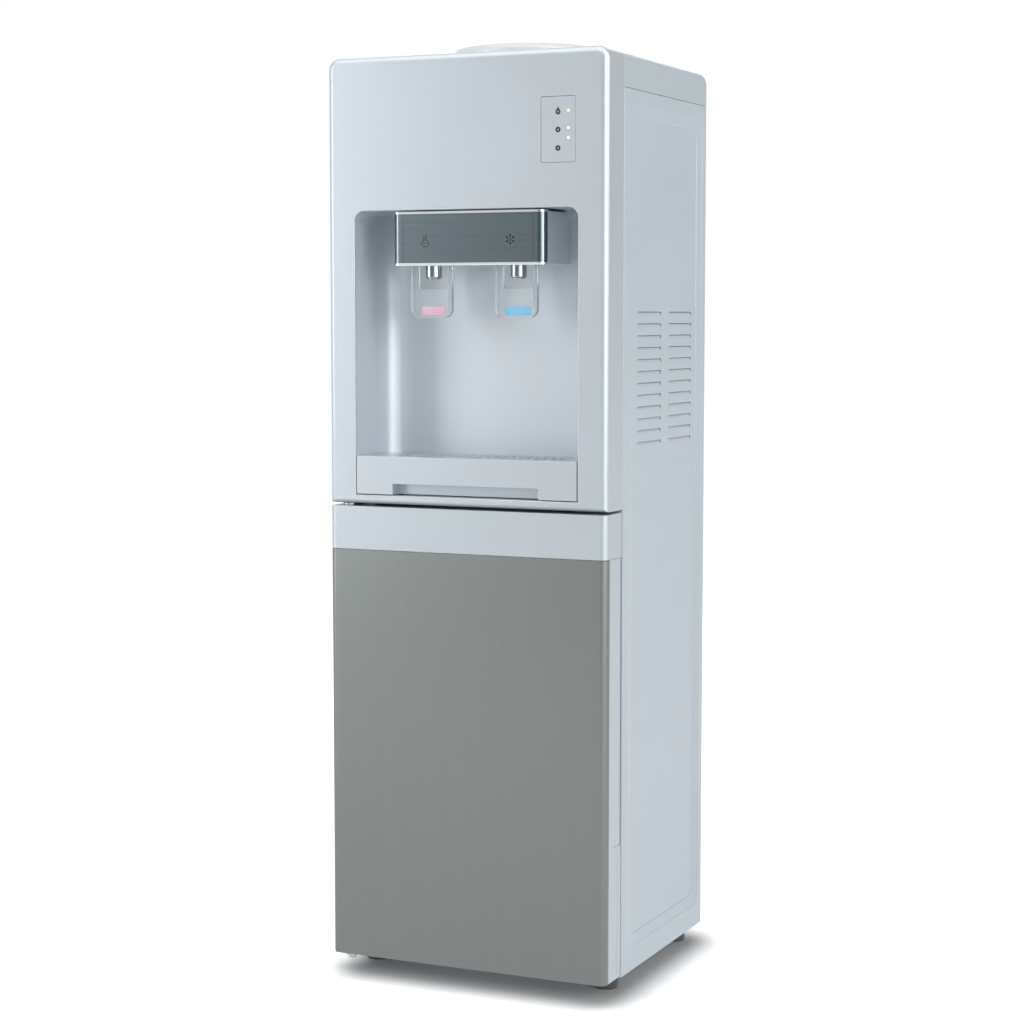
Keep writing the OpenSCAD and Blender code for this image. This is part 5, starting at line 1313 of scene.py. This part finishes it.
@dataclass
class Cabinet:
    """Steel sides, the top cover and the bottle seat."""

    half_w: float = 160.0
    front: float = 44.0
    back: float = 291.0
    low: float = 17.0
    cover_low: float = 942.0
    high: float = 980.0
    corner_r: float = 12.0
    rear_r: float = 18.0
    bottle_depth: float = 168.0
    recess: tuple[float, float, float, float] = (62.0, 280.0, 42.0, 928.0)
    slope: float = 13.0
    recess_d: float = 3.0
    recess_r: float = 15.0
    rim: float = 11.0
    turn_in: float = 14.0
    fold_r: float = 1.2
    seam: float = 0.5
    louvre_at: Pair = (92.0, 714.5)
    louvre_w: float = 69.0
    louvre_step: Pair = (93.0, 12.45)
    louvre_count: tuple[int, int] = (12, 2)
    foot_x: float = 136.0
    foot_d: Pair = (62.0, 266.0)

    def build(self) -> None:
        """Build the outer shell of the cabinet and its feet."""
        self.cover()
        self.collar()
        self.side()
        self.feet()

    def feet(self) -> None:
        """Turn a rubber foot, copy it, and turn a lower one for the hinge plate's corner."""
        x, (near_d, far_d) = self.foot_x, self.foot_d
        foot = self.foot("rubber_feet", x, near_d, self.low)
        foot.join([foot.copy("foot", (0, far_d - near_d, 0)),
                   foot.copy("foot", (-2 * x, far_d - near_d, 0)),
                   self.foot("foot", -x, near_d, self.low - 2.0)])
        foot.smooth(40).dress(RUBBER, "cabinet", "rubber", ["feet"])

    @staticmethod
    def foot(name: str, x: float, depth: float, top: float) -> Workpiece:
        """Turn one foot: soft lower edge, slight taper, shallow groove under its flange.

        Args:
            name: The name of the piece.
            x: Its middle across.
            depth: Its middle behind the front face.
            top: The height of its upper end.

        Returns:
            The workpiece.
        """
        half = [(0.0, 0.9), (8.5, 0.9), (9.3, 0.0), (11.6, 0.0), (12.5, 0.4), (12.9, 1.3),
                (13.3, top - 5.2), (12.8, top - 4.6), (12.8, top - 3.9), (13.5, top - 3.3),
                (13.5, top - 0.6), (12.9, top), (0.0, top)]
        return Workpiece.turned(name, half, (x, depth, 0), Axis.Z, 64)

    def cap(self, name: str, grow: float) -> Workpiece:
        """Build the cover's solid: rounded along its sides, crossed by a round rear edge.

        Args:
            name: The name of the piece.
            grow: How far every wall lies inside the outer face.

        Returns:
            The solid.
        """
        x, back, top = self.half_w - grow, self.back - grow, self.high - grow
        past = PAST if grow else 0.0
        low = self.cover_low + self.seam - past
        cap = Workpiece.block(name, (-x, self.front - past, low), (x, back, top))
        cap.round(above(top), self.corner_r - grow, 8, Axis.Y)
        rear = Workpiece.block("rear_tool", (-x - PAST, self.front - PAST - 4, low - PAST),
                               (x + PAST, back, top))
        rear.round(both(above(top), behind(back)), self.rear_r - grow, 10, Axis.X)
        return cap.cut(rear, "INTERSECT")

    def cover(self) -> None:
        """Build the hollow cover with the hole for the bottle seat."""
        cover = self.cap("top_cap", 0.0).cut(self.cap("cap_tool", 2.5))
        place = (0, self.bottle_depth, self.high)
        cover.cut(Workpiece.rod("hole_tool", place, 77.3, 60, Axis.Z, 128))
        cover.smooth().dress(COVER, "cabinet", "silver_plastic", ["top_cover"])

    def collar(self) -> None:
        """Turn the bottle seat: rounded rim, bowl, slope and well."""
        d = self.bottle_depth
        arc = [(78 + 6 * math.cos(math.radians(a)), 992 + 6 * math.sin(math.radians(a)))
               for a in range(0, 91, 10)]
        half = [(35.5, 873.0), (35.5, 953.5), (76.5, 963.5), (76.5, 980.0), (84.0, 980.0),
                (83.5, 988.0), *arc, (75.5, 997.0), (74.3, 995.6), (74.0, 994.0), (74.0, 966.0),
                (33.0, 956.0), (33.0, 876.0), (11.0, 876.0), (11.0, 873.0), (35.5, 873.0)]
        ring = Workpiece.turned("bottle_ring", half, (0, d, 0), Axis.Z, 128)
        ring.smooth(40).dress(WHITE, "bottle_seat", "white_plastic", ["bottle_collar"])

    def side(self) -> None:
        """Press the right side panel with its recess and louvres, and mirror it for the left."""
        x = self.half_w
        near_d, far_d, low, high = self.recess
        top = self.cover_low
        front = self.front + 1.4
        sheet = Workpiece.block("side_sheet_right", (x - self.turn_in, front, self.low),
                                (x, self.back, top))
        sheet.round(both(before(front), beyond(x)), self.fold_r, 4, Axis.Z)
        sheet.drop(lambda p: p.x < x - self.turn_in + SLACK)
        sheet.drop(below(self.low))
        sheet.drop(above(top))
        sheet.edit(Element.FACE, beyond(x),
                   lambda: bpy.ops.mesh.inset(thickness=self.rim * MM))
        for axis, place, goal in ((Axis.Y, front + self.fold_r + self.rim, near_d),
                                  (Axis.Y, self.back - self.rim, far_d),
                                  (Axis.Z, self.low + self.rim, low),
                                  (Axis.Z, top - self.rim, high)):
            on_edge: Where = lambda p: p.x > x - SLACK and abs(p[axis.value] - place) < SLACK
            sheet.edit(Element.POINT, on_edge, lambda: bpy.ops.transform.translate(
                value=axis.vector * (goal - place) * MM))
        inside = both(beyond(x), both(both(behind(near_d), before(far_d)),
                                      both(above(low), below(high))))
        sheet.edit(Element.POINT, inside, lambda: bpy.ops.mesh.bevel(
            offset=self.recess_r * MM, segments=8, profile=0.5, affect="VERTICES"))
        sheet.edit(Element.FACE, inside, self.press, area=10000.0)
        sheet.round(lambda p: abs(p.x - x + self.recess_d) < SLACK, 0.5, 2)
        sheet.wall(1.0)
        for name, grow in (("hood", 0.8), ("slit", 0.0)):
            sheet.cut(self.louvres(name, grow), "UNION" if grow else "DIFFERENCE")
        sheet.cut(self.louvre_ends())
        sheet.soften(0.5, 60, 2)
        twin = sheet.mirrored("side_sheet_left")
        for piece, node in ((twin, "side_panel_left"), (sheet, "side_panel_right")):
            piece.smooth(40).dress(PANEL, "cabinet", "panel_paint", [node])

    def press(self) -> None:
        """Push the chosen face in by three steps: crisp edge, gentle slope, crisp edge."""
        near_d, far_d, low, high = self.recess
        wide, tall, x = far_d - near_d, high - low, self.half_w
        for drop, run in ((0.9, 0.9), (0.8, self.slope - 2.2), (self.recess_d - 1.7, 1.3)):
            x -= drop
            bpy.ops.mesh.extrude_region_move(TRANSFORM_OT_translate={"value": (-drop * MM, 0, 0)})
            bpy.ops.transform.resize(value=(1, 1 - 2 * run / wide, 1 - 2 * run / tall),
                                     center_override=at(x, (near_d + far_d) / 2, (low + high) / 2))
            wide, tall = wide - 2 * run, tall - 2 * run

    def louvres(self, name: str, grow: float) -> Workpiece:
        """Shape one louvre, open along its upper edge, and copy it along two columns.

        Args:
            name: The name of the tool.
            grow: How far it stands outside the louvre's inner face.

        Returns:
            All the louvres as one workpiece.
        """
        face = self.half_w - self.recess_d - (0.95 if grow else 0.0)
        depth, height = 2.6 + grow - (0.95 if grow else 0.0), 4.5 + grow
        arc = [(face - depth * (1 - math.cos(math.radians(a))),
                -height * (1 - math.sin(math.radians(a)))) for a in range(0, 91, 10)]
        out = 0.0 if grow else 2.0
        edge = [(face + out, -height)] if out else []
        outline = [*edge, *arc, (face + out, 0.0)]
        near_d, top = self.louvre_at
        corners = [(px, near_d - grow, top + pz) for px, pz in outline]
        return self.spread(Workpiece.slab(name, corners, (0, self.louvre_w + 2 * grow, 0)))

    def louvre_ends(self) -> Workpiece:
        """Shape the small tear at a louvre's rear end, and copy it for every louvre."""
        face, end = self.half_w - self.recess_d, self.louvre_at[0] + self.louvre_w
        low = self.louvre_at[1] - 3.8
        tear = Workpiece.block("end_tool", (face - 6, end - 1.6, low),
                               (face + 1, end + 0.3, low + 3.2))
        return self.spread(tear.round(below(low), 0.7, 3, Axis.X))

    def spread(self, first: Workpiece) -> Workpiece:
        """Copy a tool of the first louvre to the places of the others and join them all.

        Args:
            first: The tool of the upper louvre in the front column.

        Returns:
            The tool for all of them.
        """
        rows, columns = self.louvre_count
        step_d, step_z = self.louvre_step
        return first.join([first.copy("louvre_copy", (0, j * step_d, -i * step_z))
                           for i in range(rows) for j in range(columns) if i or j])


class CadFinishes:
    """Finishes of the nodes that keep their own meshes."""

    def build(self) -> None:
        """Give every node the finish of its slot."""
        for name, node in frame["nodes"].items():
            slot = self.slot_of(name)
            node.data.materials.clear()
            node.data.materials.append(SLOT_FINISH[slot].material())
            log.info("%s: %s", name, slot)

    @staticmethod
    def slot_of(name: str) -> str:
        """Find the record's material slot of a node."""
        return next(part["material_slot"] for part in frame["record"]["subparts"]
                    if part["node"] == name)


@dataclass
class Studio:
    """Floor, world, lamps and the camera at the photograph's place."""

    camera_at: Point = (1.0305, -2.3026, 0.7115)
    camera_turn: Point = (85.061, 0.0, 24.495)
    lens: float = 80.333
    fill: float = 0.5
    # Parts of the room as gloss shows them: direction, where they begin and are full, level
    sectors: tuple[tuple[Point, Pair, float], ...] = (
        ((0.02, -1.0, 0.0), (0.845, 0.98), 0.3),
        ((0.98, -0.19, 0.0), (0.58, 0.88), 4.6),
        ((0.0, -0.35, 0.94), (0.55, 0.9), 3.5),
        ((0.35, 0.94, 0.0), (0.5, 0.95), 0.62),
    )

    def build(self) -> None:
        """Set up the whole studio."""
        self.camera()
        self.world()
        self.floor()
        self.lamp("left_bank", (-1.75, -1.8, 0.98), (0.0, -0.1, 0.6), 22.5, (0.8, 1.6))
        self.lamp("right_bank", (2.27, -0.95, 1.25), (0.1, 0.1, 0.5), 21.5, (1.1, 1.6))
        self.lamp("rear_fill", (-0.9, 2.6, 1.8), (0.0, 0.1, 0.5), 12.0, (1.5, 1.5))
        bpy.context.scene.view_settings.view_transform = "Standard"

    def camera(self) -> None:
        """Place the camera."""
        lens = bpy.data.cameras.new("photo_camera")
        lens.sensor_width = 36
        lens.lens = self.lens
        camera = bpy.data.objects.new("photo_camera", lens)
        bpy.context.scene.collection.objects.link(camera)
        camera.location = self.camera_at
        camera.rotation_euler = tuple(math.radians(a) for a in self.camera_turn)
        bpy.context.scene.camera = camera

    def lamp(self, name: str, place: Point, aim: Point, power: float, size: Pair) -> None:
        """Add a soft upright lamp.

        Args:
            name: Its name.
            place: Its place in metres.
            aim: The point that it faces.
            power: Its power in watts.
            size: Its width and height in metres.
        """
        light = bpy.data.lights.new(name, "AREA")
        light.energy = power
        light.shape = "RECTANGLE"
        light.size, light.size_y = size
        lamp = bpy.data.objects.new(name, light)
        lamp.location = place
        lamp.rotation_euler = (Vector(aim) - Vector(place)).to_track_quat("-Z", "Y").to_euler()
        bpy.context.scene.collection.objects.link(lamp)

    @staticmethod
    def blend(tree: bpy.types.NodeTree, share: bpy.types.NodeSocket,
              first: bpy.types.NodeSocket | float,
              second: bpy.types.NodeSocket | float) -> bpy.types.NodeSocket:
        """Add a node that goes from one value to another.

        Args:
            tree: The tree that gets it.
            share: How far it has gone, from nought to one.
            first: The value at nought.
            second: The value at one.

        Returns:
            The value between them.
        """
        mix = add_node(tree, "ShaderNodeMix", {"data_type": "FLOAT"})
        tree.links.new(share, mix.inputs[0])
        for place, value in ((2, first), (3, second)):
            if isinstance(value, bpy.types.NodeSocket):
                tree.links.new(value, mix.inputs[place])
            else:
                mix.inputs[place].default_value = value
        return mix.outputs[0]

    def world(self) -> None:
        """Light the room evenly, show it white, and give gloss its bright and dim parts."""
        world = bpy.data.worlds.new("studio")
        world.use_nodes = True
        bpy.context.scene.world = world
        tree = world.node_tree
        tree.nodes.clear()
        path = add_node(tree, "ShaderNodeLightPath")
        way = add_node(tree, "ShaderNodeTexCoord").outputs["Generated"]
        room: bpy.types.NodeSocket | None = None
        for towards, span, level in self.sectors:
            lean = add_node(tree, "ShaderNodeVectorMath", {"operation": "DOT_PRODUCT"})
            tree.links.new(way, lean.inputs[0])
            lean.inputs[1].default_value = towards
            share = add_node(tree, "ShaderNodeMapRange", {
                "interpolation_type": "SMOOTHSTEP", "From Min": span[0], "From Max": span[1],
                "To Min": 1.0, "To Max": level},
                {"Value": lean.outputs["Value"]}).outputs["Result"]
            room = share if room is None else combine(tree, "MULTIPLY", room, share)
        level = self.blend(tree, path.outputs["Is Glossy Ray"], self.fill, room)
        level = self.blend(tree, path.outputs["Is Transmission Ray"], level, 1.3)
        level = self.blend(tree, path.outputs["Is Camera Ray"], level, 1.0)
        light = add_node(tree, "ShaderNodeBackground", {"Color": (1, 1, 1, 1)},
                         {"Strength": level})
        add_node(tree, "ShaderNodeOutputWorld", links={"Surface": light.outputs["Background"]})

    def painted_contact_shadow(self, tree: bpy.types.NodeTree) -> bpy.types.NodeSocket:
        """Paint a soft contact shadow round the cabinet's base: measure how far a place on the
        floor lies clear of the base.

        Args:
            tree: The floor's node tree.

        Returns:
            A share that rises from the base's edge to one at the rim of the painted contact
            shadow.
        """
        place = add_node(tree, "ShaderNodeTexCoord").outputs["Object"]
        # Distance from a box round the base, shifted right and forward: the shape of the painted
        # contact shadow.
        steps: list[tuple[str, Point]] = [
            ("SUBTRACT", (0.012, -0.022, 0.0)), ("ABSOLUTE", (0.0, 0.0, 0.0)),
            ("SUBTRACT", (0.125, 0.115, 1.0)), ("MAXIMUM", (0.0, 0.0, 0.0))]
        for operation, value in steps:
            node = add_node(tree, "ShaderNodeVectorMath", {"operation": operation})
            tree.links.new(place, node.inputs[0])
            if operation != "ABSOLUTE":
                node.inputs[1].default_value = value
            place = node.outputs["Vector"]
        away = add_node(tree, "ShaderNodeVectorMath", {"operation": "LENGTH"})
        tree.links.new(place, away.inputs[0])
        return add_node(tree, "ShaderNodeMapRange", {
            "interpolation_type": "SMOOTHSTEP", "From Min": 0.012, "From Max": 0.088,
            "To Min": 0.22, "To Max": 1.0},
            {"Value": away.outputs["Value"]}).outputs["Result"]

    def floor(self) -> None:
        """Lay a white floor that keeps the cast shadow, with a soft contact shadow painted into
        its colour round the base.
        """
        Workpiece.clear()
        bpy.ops.mesh.primitive_plane_add(size=60, location=(0, 0, 0))
        floor = Workpiece(bpy.context.object, "studio_floor")
        paper = bpy.data.materials.new("white_studio_paper")
        paper.use_nodes = True
        tree = paper.node_tree
        tree.nodes.clear()
        path = add_node(tree, "ShaderNodeLightPath")
        # Painted shadow: the floor the camera sees is darkened near the base by the share below,
        # not by the lamps.
        painted_shadow_tone = add_node(tree, "ShaderNodeMath", {"operation": "MULTIPLY"})
        tree.links.new(self.painted_contact_shadow(tree), painted_shadow_tone.inputs[0])
        painted_shadow_tone.inputs[1].default_value = 2.1
        tone = self.blend(tree, path.outputs["Is Camera Ray"], 0.86, painted_shadow_tone.outputs[0])
        colour = add_node(tree, "ShaderNodeCombineColor",
                          links={"Red": tone, "Green": tone, "Blue": tone})
        paper_face = add_node(tree, "ShaderNodeBsdfDiffuse",
                              links={"Color": colour.outputs["Color"]})
        shine = self.blend(tree, path.outputs["Is Glossy Ray"], 0.0, 0.58)
        glow = add_node(tree, "ShaderNodeEmission", {"Color": (1, 1, 1, 1)}, {"Strength": shine})
        total = add_node(tree, "ShaderNodeAddShader")
        tree.links.new(paper_face.outputs[0], total.inputs[0])
        tree.links.new(glow.outputs[0], total.inputs[1])
        add_node(tree, "ShaderNodeOutputMaterial", links={"Surface": total.outputs[0]})
        floor.obj.data.materials.append(paper)


def main() -> None:
    """Build the dispenser's looks and the studio."""
    logging.basicConfig(level=logging.INFO, format="%(name)s: %(message)s")
    CadFinishes().build()
    for part in (FrontPanel(), Niche(), TapFront(), DripTray(), Door(), Cabinet()):
        part.build()
    Studio().build()


if __name__ == "__main__":
    main()
